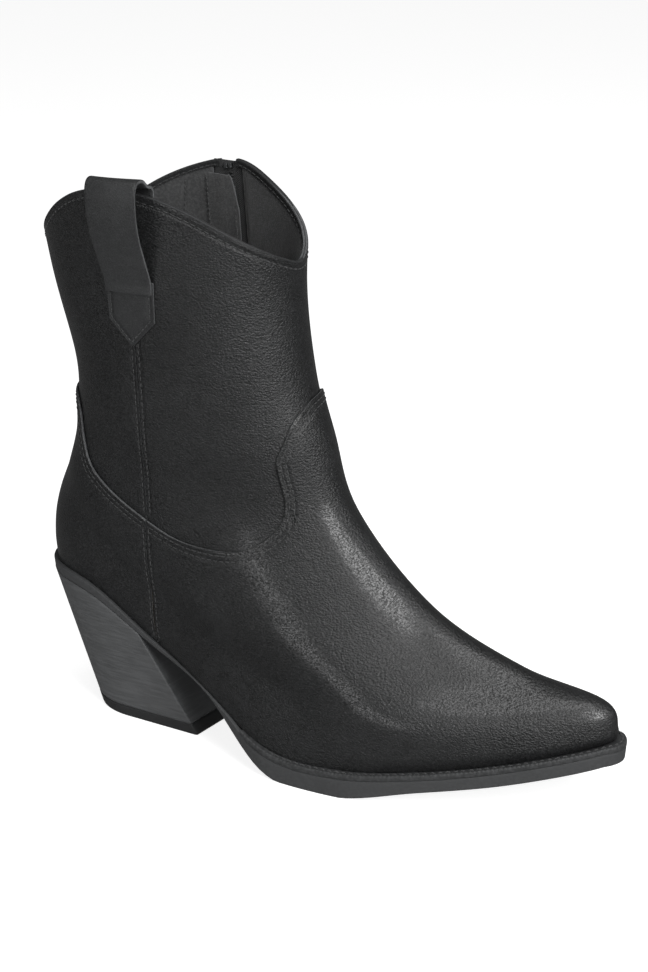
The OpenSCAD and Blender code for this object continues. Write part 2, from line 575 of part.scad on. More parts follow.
// Cork fills the forepart inside the welt
FILLER_FROM = .5;
filler_inset = lasting_w + 1.5;
function filler_point(a) = let(t = mix(FILLER_FROM, 1, depth(a)), b = acos(2 * t - 1) * (a < 180 ? 1 : -1),
  p = inner_edge(b, filler_inset), s = cos(a) < 0 ? min(1, 1.6 * abs(sin(a))) : 1)
  [p.x, mix(STATIONS[0][5] * t * t, p.y, s)];
module cork_filler() {
  ring = [for (a = RING) filler_point(a)];
  color(CORK) placed() slab([for (p = ring) at_sole(p, leather_t)],
    [for (p = ring) at_sole(p, seat_gap - step_at(p.x))]);
}

// --- Sole ---
SOLE_DEPTH = [outsole_heel_t, outsole_heel_t, (outsole_heel_t + outsole_waist_t) / 2 - .4, outsole_waist_t,
  forepart_t + tread_t - .2, forepart_t + tread_t, forepart_t, forepart_t, forepart_t];
function sole_depth(t) = flow(SOLE_DEPTH, 8 * t);
function under_sole(p) = [p.x, p.y, max(0, sole_z(p.x) - sole_depth(clamp01(p.x / form_len)))];
bevel = .4;
module outsole() {
  color(BLACK_RUBBER) placed() slab([for (a = RING) at_sole(sole_edge(a), -welt_step(depth(a)))],
    [for (a = RING) under_sole(outer_edge(a, sole_out(depth(a)) - bevel))]);
}
WELT_END = 96;
module welt() {
  lift = eps / 2;
  color(BLACK_RUBBER) placed() strip([for (a = [-WELT_END:RING_STEP:WELT_END]) let(p = sole_edge(a),
    q = inner_edge(a, lasting_w), drop = welt_step(depth(a)))
    [at_sole(q, seat_gap / 2 - drop), at_sole(p, lift - drop),
    at_sole(p, 0), at_sole(q, 0)]]);
}

// --- Heel ---
// The top ring follows the outsole; the base ring is a half ellipse closed by a straight front
HEEL_RING = [for (a = RING) if (depth(a) * form_len < heel_top_len) a];
heel_steps = len(HEEL_RING) - 1;
base_round = heel_base_len * .4;
base_mid = heel_setback + base_round;
base_front = heel_setback + heel_base_len;
function heel_top_point(i) = under_sole(outer_edge(HEEL_RING[i], sole_out(depth(HEEL_RING[i])) - bevel));
// Corner steps at each end run along the straight sides
CORNER = 3;
function heel_base_point(i) = let(k = min(i, heel_steps - i), side = i < heel_steps / 2 ? 1 : -1,
  a = mix(90, 180, (k - CORNER) / (heel_steps / 2 - CORNER)))
  k < CORNER ? [mix(base_front, base_mid, k / CORNER), side * heel_base_w / 2, 0] :
  [base_mid + base_round * cos(a), side * heel_base_w / 2 * sin(a), 0];
function heel_point(i, z) = let(p = heel_top_point(i), q = heel_base_point(i)) q + (p - q) * z / p.z;
// Closed wedge between two open rings that mirror about their middle
module wedge(top, base) {
  n = len(top);
  walls = [for (i = [0:n - 1]) let(k = (i + 1) % n) each [[i, n + i, n + k], [i, n + k, k]]];
  h = (n - 1) / 2;
  lids = concat([for (i = [0:h - 2]) each [[i, i + 1, n - 1 - i], [i + 1, n - 2 - i, n - 1 - i]]],
    [[h - 1, h, h + 1]]);
  polyhedron(points = concat(top, base), convexity = 6, faces = concat([for (f = lids) [f[2], f[1], f[0]]],
    [for (f = lids) [n + f[0], n + f[1], n + f[2]]], [for (f = walls) [f[2], f[1], f[0]]]));
}
module heel_block() {
  color("#333435") placed() wedge([for (i = [0:heel_steps]) heel_top_point(i)],
    [for (i = [0:heel_steps]) heel_point(i, lift_t)]);
}
module top_lift() {
  color(BLACK_RUBBER) placed() wedge([for (i = [0:heel_steps]) heel_point(i, lift_t)],
    [for (i = [0:heel_steps]) heel_base_point(i)]);
}
module fastener(x, y, r, head_r, from, to) {
  placed() translate([x, y, 0]) union() {
    translate([0, 0, from]) cylinder(r = r, h = to - from);
    translate([0, 0, to - 1]) cylinder(r = head_r, h = 1);
  }
}
screw_x = 34;
// Depth that the screw and the nails go into the insole board
board_bite = .5;
function in_board(x) = sole_z(x) + board_low + board_bite;
module heel_screw() {
  color(STEEL) fastener(screw_x, 0, 2.5, 4.5, seat_h - 48, in_board(screw_x));
}
module heel_nails() {
  color(STEEL) for (x = [24, 50], y = [-9, 9]) fastener(x, y, 1.1, 2.2, sole_z(x) - 24, in_board(x));
}
module lift_pins() {
  color(STEEL) for (p = [[36, 0], [66, -12], [66, 12]])
    fastener(p.x, p.y, 1.2, 1.2, lift_t * .4, lift_t + 12);
}

vamp();
heel_counter();
shaft_front();
shaft_back();
strap_patch();
pull_strap();
zip_tape_front();
zip_tape_back();
zip_coil_front();
zip_coil_back();
zip_slider();
zip_pull();
zip_top_stops();
zip_bottom_stop();
zip_guard();
shaft_lining_front();
shaft_lining_back();
foot_lining();
heel_lining();
toe_puff();
backing_cloth();
heel_stiffener();
insole_board();
heel_pad();
sock_liner();
shank();
cork_filler();
welt();
outsole();
heel_block();
top_lift();
heel_screw();
heel_nails();
lift_pins();
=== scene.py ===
"""A right Western ankle boot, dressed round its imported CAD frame.

Every panel of the upper lies on one foot form. A place on the form is an angle round it, 0 at the
front and 90 at the inner side, and a station, 0 at the sole and 9 at the rim. Form sizes are in
millimetres; meshes are in metres, in the frame of the CAD.
"""
import logging
import math
from dataclasses import dataclass
from enum import Enum
from typing import Callable, Sequence

import bpy
import numpy as np
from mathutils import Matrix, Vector
from mathutils.kdtree import KDTree


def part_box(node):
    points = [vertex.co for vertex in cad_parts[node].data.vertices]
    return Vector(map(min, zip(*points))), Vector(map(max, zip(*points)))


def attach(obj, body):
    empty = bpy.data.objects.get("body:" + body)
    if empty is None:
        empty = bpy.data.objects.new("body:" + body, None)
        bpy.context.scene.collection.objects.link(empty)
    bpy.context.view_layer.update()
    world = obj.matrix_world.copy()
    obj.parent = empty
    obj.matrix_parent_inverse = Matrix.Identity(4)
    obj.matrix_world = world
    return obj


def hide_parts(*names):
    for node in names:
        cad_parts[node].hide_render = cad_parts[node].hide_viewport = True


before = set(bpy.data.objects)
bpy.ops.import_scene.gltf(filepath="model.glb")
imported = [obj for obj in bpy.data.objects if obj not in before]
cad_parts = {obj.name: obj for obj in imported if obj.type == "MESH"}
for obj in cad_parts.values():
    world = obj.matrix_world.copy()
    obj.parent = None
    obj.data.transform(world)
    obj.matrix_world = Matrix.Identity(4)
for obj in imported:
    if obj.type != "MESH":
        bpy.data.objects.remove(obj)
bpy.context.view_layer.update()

LOG = logging.getLogger("boot")
MM = 0.001
BOOT = "boot"
Array = np.ndarray
Edge = Callable[[Array], Array]


def curve_through(knots: Array, t: Array) -> Array:
    """Smooth curve through evenly spaced knots.

    Args:
        knots: one row, or one number, per knot.
        t: positions, where 0 is the first knot and 1 the second.

    Returns:
        The values at t, with the shape of t and then of a knot.
    """
    rows = np.asarray(knots, float)
    flat = rows.ndim == 1
    rows = rows[:, None] if flat else rows
    padded = np.vstack([2 * rows[0] - rows[1], rows, 2 * rows[-1] - rows[-2]])
    t = np.asarray(t, float)
    i = np.clip(np.floor(t).astype(int), 0, len(rows) - 2)
    found = cubic(*(padded[i + k] for k in range(4)), (t - i)[..., None])
    return found[..., 0] if flat else found


def cubic(a: Array, b: Array, c: Array, d: Array, u: Array) -> Array:
    """The smooth step from b to c at share u, given the knots a and d beyond them."""
    return 0.5 * (2 * b + (c - a) * u + (2 * a - 5 * b + 4 * c - d) * u**2 + (3 * b - a - 3 * c + d) * u**3)


def across(values: Array, t: Array) -> Array:
    """Smooth curve through the last axis of values, which differs from place to place.

    Args:
        values: knots along the last axis.
        t: positions along that axis.

    Returns:
        One value for each t.
    """
    first = 2 * values[..., :1] - values[..., 1:2]
    last = 2 * values[..., -1:] - values[..., -2:-1]
    padded = np.concatenate([first, values, last], -1)
    i = np.clip(np.floor(t).astype(int), 0, values.shape[-1] - 2)
    knots = [np.take_along_axis(padded, (i + k)[..., None], -1)[..., 0] for k in range(4)]
    return cubic(*knots, t - i)


def smooth(t: Array) -> Array:
    """Eased step from 0 to 1."""
    c = np.clip(t, 0, 1)
    return c * c * (3 - 2 * c)


def unit(v: Array) -> Array:
    """Vectors of length 1 along v."""
    return v / np.maximum(np.linalg.norm(v, axis=-1, keepdims=True), 1e-12)


def mix(a: Array, b: Array, s: Array) -> Array:
    """The value at share s from a to b."""
    return a + (b - a) * s


def rounded(points: Sequence[Sequence[float]], rounds: int = 3) -> Array:
    """A line of points with its corners cut, so that it bends smoothly.

    Args:
        points: the corner points.
        rounds: how often the corners are cut.

    Returns:
        The finer line.
    """
    line = np.asarray(points, float)
    for _ in range(rounds):
        near, far = mix(line[:-1], line[1:], 0.25), mix(line[:-1], line[1:], 0.75)
        inner = np.stack([near, far], 1).reshape(-1, line.shape[1])
        line = np.vstack([line[:1], inner, line[-1:]])
    return line


@dataclass
class FootForm:
    """The foot form that the whole upper is cut round."""

    length: float = 288.0
    seat: float = 73.0
    ball: float = 12.0
    toe: float = 32.5
    rim: float = 262.0
    lasting: float = 11.0
    seat_gap: float = 0.2
    seam_x: float = 75.0

    def __post_init__(self) -> None:
        """Works out the stations, the curve of the sole and the zip's straight line."""
        back_rise = [0, .06, .125, .19, .265, .353, .451, .56, .761, 1]
        front_rise = [0, .028, .077, .111, .197, .368, .519, .636, .805, 1]
        back_x = [0, -1, 0, 3.5, 10, 17.5, 18.5, 17, 6.5, -3]
        front_x = [288, 290, 284, 248.5, 204, 163, 149, 139.5, 134, 137]
        sole_share = [1, .97, .91, .75, .5, .25, .1, 0, 0, 0]
        sway = [16.5, 14.5, 14, 9.5, 4.5, 1.5, 0, 0, 0, 0]
        full = [[58, 34, 44, 44, 32.5], [58.5, 37, 42.5, 45, 31], [57.5, 38, 40, 44.5, 25.5],
                [53.5, 38, 37, 41.5, 22.5], [49.5, 38, 36, 36, 24.5], [45.5, 38, 35.2, 32.3, 27.5],
                [44, 39.6, 37.4, 35.3, 32], [42.5, 41.2, 39.2, 38.2, 37.5],
                [45.5, 43.8, 42.1, 41.2, 42.5], [48, 45.6, 45.5, 41.5, 44.5]]
        shank = np.array([1, .925, .58, .3, .02, 0, 0, 0, 0])
        toe_curve = np.array([0, 0, 0, 0, .02, 0, .24, .57, 1])
        share = np.arange(9) / 8
        self.sag = (self.ball + (self.seat - self.ball) * shank + (self.toe - self.ball) * toe_curve
                    - (self.seat + (self.toe - self.seat) * share))
        heights = [self.seat + np.array(back_rise) * (self.rim - self.seat),
                   self.toe + np.array(front_rise) * (self.rim - self.toe)]
        self.stations = np.column_stack([back_x, heights[0], front_x, heights[1], sole_share, sway, full])
        low, high = Vector(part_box("outsole")[0]) / MM, Vector(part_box("outsole")[1]) / MM
        edge_low = self.edge(np.arange(0, 360, 4.0)).min(0)
        self.origin = np.array([edge_low[0] - low.x, edge_low[1] - low.y, 0.0])
        self.zip_low = self.surface(95.0, 4.75)
        self.zip_high = self.surface(89.0, 8.9)
        self.zip_length = float(np.linalg.norm(self.zip_high - self.zip_low))
        self.zip_dir = unit(self.zip_high - self.zip_low)
        out = self.normal(90.0, 7.0)
        self.zip_out = unit(out - (out @ self.zip_dir) * self.zip_dir)
        self.zip_side = np.cross(self.zip_out, self.zip_dir)
        LOG.info("form origin %s, outsole top corner %s", np.round(self.origin, 3), high)

    def surface(self, phi: Array, v: Array) -> Array:
        """Points of the form in millimetres, at angles phi in degrees and stations v."""
        phi, v = np.broadcast_arrays(np.asarray(phi, float), np.asarray(v, float))
        r = curve_through(self.stations, v)
        t = (1 + np.cos(np.radians(phi))) / 2
        side = np.sin(np.radians(phi)) * across(r[..., 6:11], 4 * t)
        return np.stack([r[..., 0] + t * (r[..., 2] - r[..., 0]), r[..., 5] * t * t + side,
                         r[..., 1] + t * (r[..., 3] - r[..., 1])
                         + r[..., 4] * curve_through(self.sag, 8 * t)], -1)

    def normal(self, phi: Array, v: Array) -> Array:
        """Outward directions of the form."""
        phi, v = np.asarray(phi, float), np.asarray(v, float)
        return unit(np.cross(self.surface(phi + 1, v) - self.surface(phi - 1, v),
                             self.surface(phi, v + .03) - self.surface(phi, np.maximum(0, v - .03))))

    def plan_normal(self, phi: Array) -> Array:
        """Outward directions of the sole's outline, level with the floor."""
        d = self.surface(phi + 1, 0) - self.surface(phi - 1, 0)
        return unit(np.stack([d[..., 1], -d[..., 0], 0 * d[..., 0]], -1))

    def sole_height(self, x: Array) -> Array:
        """Height of the form's sole at distances x from the heel point."""
        t = np.clip(x / self.length, 0, 1)
        return self.seat + (self.toe - self.seat) * t + curve_through(self.sag, 8 * t)

    def at_sole(self, p: Array, dz: Array) -> Array:
        """Points above or below the form's sole by dz."""
        p = np.asarray(p, float)
        return np.stack([p[..., 0], p[..., 1], self.sole_height(p[..., 0]) + dz], -1)

    def depth(self, phi: Array) -> Array:
        """Share of the form's length at an angle, 0 at the heel and 1 at the toe."""
        return (1 + np.cos(np.radians(phi))) / 2

    def inner_edge(self, phi: Array, m: Array) -> Array:
        """The sole's outline drawn in by m."""
        t, r = self.depth(phi), self.stations[0]
        full = across(np.broadcast_to(r[6:11], np.shape(t) + (5,)), 4 * t)
        y = r[5] * t * t + np.sin(np.radians(phi)) * full * (1 - m / 45)
        return np.stack([m + t * (self.length - 2 * m), y], -1)

    def outer_edge(self, phi: Array, m: Array) -> Array:
        """The sole's outline moved out by m."""
        return (self.surface(phi, 0) + np.asarray(m)[..., None] * self.plan_normal(phi))[..., :2]

    def sole_out(self, phi: Array) -> Array:
        """How far the outsole stands out past the form."""
        return curve_through([2, 2, 1.5, 1, 2.7, 3.8, 3.8, 3.8, 4.8], 8 * self.depth(phi))

    def edge(self, phi: Array) -> Array:
        """The outsole's outline seen from above."""
        return self.outer_edge(phi, self.sole_out(phi))

    def skin(self, phi: Array, v: Array, offset: Array = 0.0) -> Array:
        """Points of a layer that lies at an offset from the form.

        Args:
            phi: angles in degrees.
            v: stations; below 0 is the margin turned under the insole, 1 its full width.
            offset: distance out from the form in millimetres.

        Returns:
            Points in millimetres.
        """
        phi, v, offset = np.broadcast_arrays(phi, v, offset)
        up = np.maximum(v, 0)
        wall = self.surface(phi, up) + offset[..., None] * self.normal(phi, up)
        gap = self.seat_gap - offset
        corner = self.surface(phi, 0) + offset[..., None] * self.plan_normal(phi)
        corner[..., 2] += gap
        under = self.at_sole(self.inner_edge(phi, -np.minimum(v, 0) * self.lasting), gap)
        found = np.where((v > 0)[..., None], wall, corner)
        return np.where((v < 0)[..., None], under, found)

    def angle_at(self, x: Array, v: Array) -> Array:
        """Angle on the inner side at which station v is at distance x from the heel point."""
        r = curve_through(self.stations, v)
        return np.degrees(np.arccos(np.clip(2 * (x - r[..., 0]) / (r[..., 2] - r[..., 0]) - 1, -1, 1)))

    def seam(self, v: Array) -> Array:
        """Angle of the outer side seam."""
        return -self.angle_at(self.seam_x, v)

    def zip_angle(self, v: Array, dx: Array) -> Array:
        """Angle of a line beside the zip, dx in front of its middle."""
        share = (self.surface(90.0, v)[..., 2] - self.zip_low[2]) / (self.zip_high[2] - self.zip_low[2])
        return self.angle_at(self.zip_low[0] + share * (self.zip_high[0] - self.zip_low[0]) + dx, v)

    def placed(self, points: Array) -> Array:
        """Points moved to the frame of the CAD, in metres."""
        return (points - self.origin) * MM

    def inset(self, phi: Array, v: Array, distance: float) -> tuple[Array, Array]:
        """A line on the form moved sideways, to its left seen from outside.

        Args:
            phi: angles along the line.
            v: stations along the line.
            distance: how far it moves, in millimetres.

        Returns:
            Angles and stations of the moved line.
        """
        p = self.surface(phi, v)
        way = np.cross(self.normal(phi, v), unit(np.gradient(p, axis=0))) * distance
        by_phi = (self.surface(phi + .5, v) - self.surface(phi - .5, v))
        by_v = (self.surface(phi, v + .02) - self.surface(phi, v - .02)) / .04
        a, b, c = (by_phi**2).sum(-1), (by_phi * by_v).sum(-1), (by_v**2).sum(-1)
        d, e = (way * by_phi).sum(-1), (way * by_v).sum(-1)
        under = a * c - b * b
        return phi + (d * c - e * b) / under, v + (a * e - b * d) / under


@dataclass
class Pattern:
    """The edges that are cut in the upper."""

    lap: float = 0.55

    def __post_init__(self) -> None:
        """Smooths the lines of the rim and of the foxing."""
        self.rim_line = rounded([
            [-180, 8.25], [-165, 8.29], [-150, 8.4], [-135, 8.58], [-120, 8.79], [-106, 8.94], [-88, 9.02],
            [-74, 8.95], [-60, 8.81], [-46, 8.65], [-32, 8.51], [-14, 8.36], [8, 8.24], [26, 8.4], [46, 8.63],
            [62, 8.82], [80, 9.01], [92, 9], [106, 8.9], [120, 8.76], [135, 8.57], [150, 8.4], [165, 8.29],
            [180, 8.25]])
        self.foxing_line = rounded([
            [-180, 6.2], [-152, 6.1], [-144, 5.8], [-142, 5.2], [-135, 4.62], [-127, 4.52], [-106, 4.5],
            [-92, 4.58], [-75, 4.61], [-67, 4.67], [-57, 4.8], [-47, 4.98], [-41, 5.22], [-40.2, 5.45],
            [-39.8, 5.74], [-39.6, 5.78], [-30, 6.12], [-23, 6.36], [-12, 6.54], [0, 6.69], [24, 6.69],
            [36, 6.54], [47, 6.36], [54, 6.12], [63.6, 5.78], [63.8, 5.74], [64.2, 5.45], [65, 5.22],
            [71, 4.98], [81, 4.8], [91, 4.67], [99, 4.61], [116, 4.56], [127, 4.52], [135, 4.62],
            [142, 5.2], [144, 5.8], [152, 6.1], [180, 6.2]])

    def turn(self, phi: Array) -> Array:
        """Angles brought between -180 and 180."""
        return (np.asarray(phi, float) + 180) % 360 - 180

    def rim(self, phi: Array) -> Array:
        """Station of the rim."""
        return np.interp(self.turn(phi), self.rim_line[:, 0], self.rim_line[:, 1])

    def foxing(self, phi: Array) -> Array:
        """Station of the foxing's edge."""
        return np.interp(self.turn(phi), self.foxing_line[:, 0], self.foxing_line[:, 1])

    def shaft_low(self, phi: Array) -> Array:
        """Station at which the shaft leather ends under the foxing."""
        return np.min([self.foxing(phi + d) for d in (-8, -4, 0, 4, 8)], axis=0) - self.lap * .8

    def columns(self, low: float, high: float, step: float = 1.25) -> Array:
        """Angles spaced evenly along the foxing's edge.

        Args:
            low: first angle.
            high: last angle, which may be past 180.
            step: distance between angles, about in millimetres.

        Returns:
            The rising angles.
        """
        ends = self.foxing_line
        line = np.vstack([ends, ends[1:] + [360, 0]])
        line = line[(line[:, 0] > low) & (line[:, 0] < high)]
        line = np.vstack([[low, self.foxing(low)], line, [high, self.foxing(high)]])
        run = np.concatenate([[0], np.cumsum(np.hypot(np.diff(line[:, 0]) * .95, np.diff(line[:, 1]) * 23))])
        return np.interp(np.linspace(0, run[-1], int(run[-1] / step)), run, line[:, 0])


# --- Meshes ---
def add_object(name: str, points: Array, faces: Sequence[Sequence[int]], material: bpy.types.Material,
               body: str = BOOT, flat: bool = False) -> bpy.types.Object:
    """Makes a mesh object that rides on a body of the frame.

    Args:
        name: the piece's name.
        points: places in the frame of the CAD, in metres.
        faces: corner numbers of each face.
        material: its finish.
        body: the body it rides on.
        flat: keeps the faces flat-shaded.

    Returns:
        The new object.
    """
    mesh = bpy.data.meshes.new(name)
    mesh.from_pydata(np.asarray(points).tolist(), [], [list(map(int, f)) for f in faces])
    mesh.validate()
    mesh.polygons.foreach_set("use_smooth", [not flat] * len(mesh.polygons))
    mesh.materials.append(material)
    obj = bpy.data.objects.new(name, mesh)
    bpy.context.scene.collection.objects.link(obj)
    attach(obj, body)
    LOG.info("%s: %d faces", name, len(mesh.polygons))
    return obj


def grid_faces(rows: int, columns: int, start: int = 0, closed: bool = False,
               flip: bool = False) -> list[list[int]]:
    """Faces of a grid of points.

    Args:
        rows: how many lines of points.
        columns: how many points in each line.
        start: number of the first point.
        closed: joins the last line to the first.
        flip: turns the faces over.

    Returns:
        Four corner numbers for each face.
    """
    i, j = np.meshgrid(np.arange(rows if closed else rows - 1), np.arange(columns - 1), indexing="ij")
    k = (i + 1) % rows
    quad = np.stack([i * columns + j, k * columns + j, k * columns + j + 1, i * columns + j + 1],
                    -1).reshape(-1, 4)
    return (start + (quad[:, ::-1] if flip else quad)).tolist()


def sheet_mesh(top: Array, thickness: float, radius: float = 0.35) -> tuple[Array, list[list[int]]]:
    """A sheet of some thickness with its outer edges rounded, as cut and skived leather is.

    Args:
        top: grid of outer points in millimetres.
        thickness: in millimetres.
        radius: radius of the rounded edge.

    Returns:
        Points and faces. The outer grid's points come first.
    """
    n, m = top.shape[:2]
    normal = unit(np.cross(np.gradient(top, axis=0), np.gradient(top, axis=1)))
    loop = [(i, 0) for i in range(n)] + [(n - 1, j) for j in range(1, m)]
    loop += [(i, m - 1) for i in range(n - 2, -1, -1)] + [(0, j) for j in range(m - 2, 0, -1)]
    li, lj = np.array(loop).T
    edge, up = top[li, lj], normal[li, lj]
    along = unit(np.roll(edge, -1, 0) - np.roll(edge, 1, 0))
    out = unit(np.cross(along, up))
    outer, inner = top.copy(), top - thickness * normal
    outer[li, lj] = edge - radius * out
    rings = [edge - radius * (1 - math.sin(a)) * out - radius * (1 - math.cos(a)) * up
             for a in (math.pi / 6, math.pi / 3, math.pi / 2)]
    points = np.vstack([outer.reshape(-1, 3), inner.reshape(-1, 3), *rings])
    count, size = n * m, len(loop)
    lines = [li * m + lj, *(2 * count + k * size + np.arange(size) for k in range(3)), count + li * m + lj]
    faces = grid_faces(n, m) + grid_faces(n, m, count, flip=True)
    for a, b in zip(lines[:-1], lines[1:]):
        faces += np.stack([a, b, np.roll(b, -1), np.roll(a, -1)], -1).tolist()
    return points, faces


def tube_run(path: Array, normals: Array, pitch: float, radius: float,
             share: float = .78) -> tuple[Array, list]:
    """A row of stitches along a line.

    Args:
        path: points along the line in millimetres.
        normals: outward directions there.
        pitch: distance from one stitch to the next.
        radius: radius of the thread.
        share: share of the pitch that a stitch covers.

    Returns:
        Points and faces.
    """
    run = np.concatenate([[0], np.cumsum(np.linalg.norm(np.diff(path, axis=0), axis=1))])
    count = max(1, int(run[-1] / pitch))
    start = (np.arange(count) + .5 * (1 - share)) * run[-1] / count
    steps = np.linspace(0, 1, 6)
    where = start[:, None] + steps * share * run[-1] / count
    centre = np.stack([np.interp(where, run, path[:, k]) for k in range(3)], -1)
    up = unit(np.stack([np.interp(where, run, normals[:, k]) for k in range(3)], -1))
    way = unit(np.gradient(centre, axis=1))
    side = np.cross(way, up)
    arch = np.sin(np.pi * steps) ** .6
    centre = centre + up * ((arch * 1.25 - .75) * radius)[:, None]
    size = radius * (.55 + .45 * arch)
    turns = np.radians(np.arange(0, 360, 60))
    rings = (centre[:, :, None] + size[None, :, None, None]
             * (np.cos(turns)[:, None] * side[:, :, None] + np.sin(turns)[:, None] * up[:, :, None]))
    faces: list[list[int]] = []
    for k in range(count):
        base = k * 36
        for s in range(5):
            faces += [[base + s * 6 + a, base + s * 6 + (a + 1) % 6, base + s * 6 + 6 + (a + 1) % 6,
                       base + s * 6 + 6 + a] for a in range(6)]
        faces += [[base + a for a in range(5, -1, -1)], [base + 30 + a for a in range(6)]]
    return rings.reshape(-1, 3), faces


def joined(parts: Sequence[tuple[Array, list]]) -> tuple[Array, list[list[int]]]:
    """Several meshes as one."""
    points, faces, start = [], [], 0
    for p, f in parts:
        points.append(p)
        faces += [[c + start for c in corner] for corner in f]
        start += len(p)
    return np.vstack(points), faces


@dataclass
class Seam:
    """A row of stitching: its line on the form and what it rests on."""

    phi: Array
    v: Array
    offset: Array
    pitch: float = 3.0
    thread: float = 0.24

    def line(self, form: FootForm) -> tuple[Array, Array]:
        """Points and outward directions along the row."""
        return form.skin(self.phi, self.v, self.offset), form.normal(self.phi, self.v)


# --- Finishes ---
class Texture(Enum):
    """What the surface of a finish is like, named after its shared node group."""

    PEBBLE = "Pebbled grain"
    WEAVE = "Plain weave"
    STREAK = "Stacked layers"
    SPECKLE = "Fine speckle"


class NodeKit:
    """Adds and joins nodes in one tree."""

    def __init__(self, tree: bpy.types.NodeTree) -> None:
        """Keeps the tree and empties it."""
        self.tree = tree
        tree.nodes.clear()

    def add(self, kind: str, feeds: dict | None = None, **settings: object) -> bpy.types.Node:
        """Adds a node.

        Args:
            kind: the node's type.
            feeds: value or source socket for each named or numbered input.
            settings: values for the node's own settings.

        Returns:
            The node.
        """
        node = self.tree.nodes.new(kind)
        for key, value in settings.items():
            setattr(node, key, value)
        for key, value in (feeds or {}).items():
            if isinstance(value, bpy.types.NodeSocket):
                self.tree.links.new(value, node.inputs[key])
            else:
                node.inputs[key].default_value = value
        return node

    def math(self, operation: str, a: object, b: object = 0.0) -> bpy.types.NodeSocket:
        """The result of a sum of two numbers or sockets."""
        return self.add("ShaderNodeMath", {0: a, 1: b}, operation=operation).outputs[0]

    def ramp(self, value: object, low: float, high: float, out_low: float,
             out_high: float) -> bpy.types.NodeSocket:
        """The value eased from one range to another."""
        feeds = {"Value": value, "From Min": low, "From Max": high, "To Min": out_low, "To Max": out_high}
        return self.add("ShaderNodeMapRange", feeds, interpolation_type="SMOOTHSTEP").outputs[0]

    def blend(self, share: object, a: object, b: object) -> bpy.types.NodeSocket:
        """Colour at a share from a to b."""
        return self.add("ShaderNodeMix", {0: share, 6: a, 7: b}, data_type="RGBA").outputs[2]

    def noise(self, place: object, scale: object, detail: float = 2.0) -> bpy.types.NodeSocket:
        """Soft noise between 0 and 1."""
        return self.add("ShaderNodeTexNoise", {"Vector": place, "Scale": scale, "Detail": detail}).outputs[0]


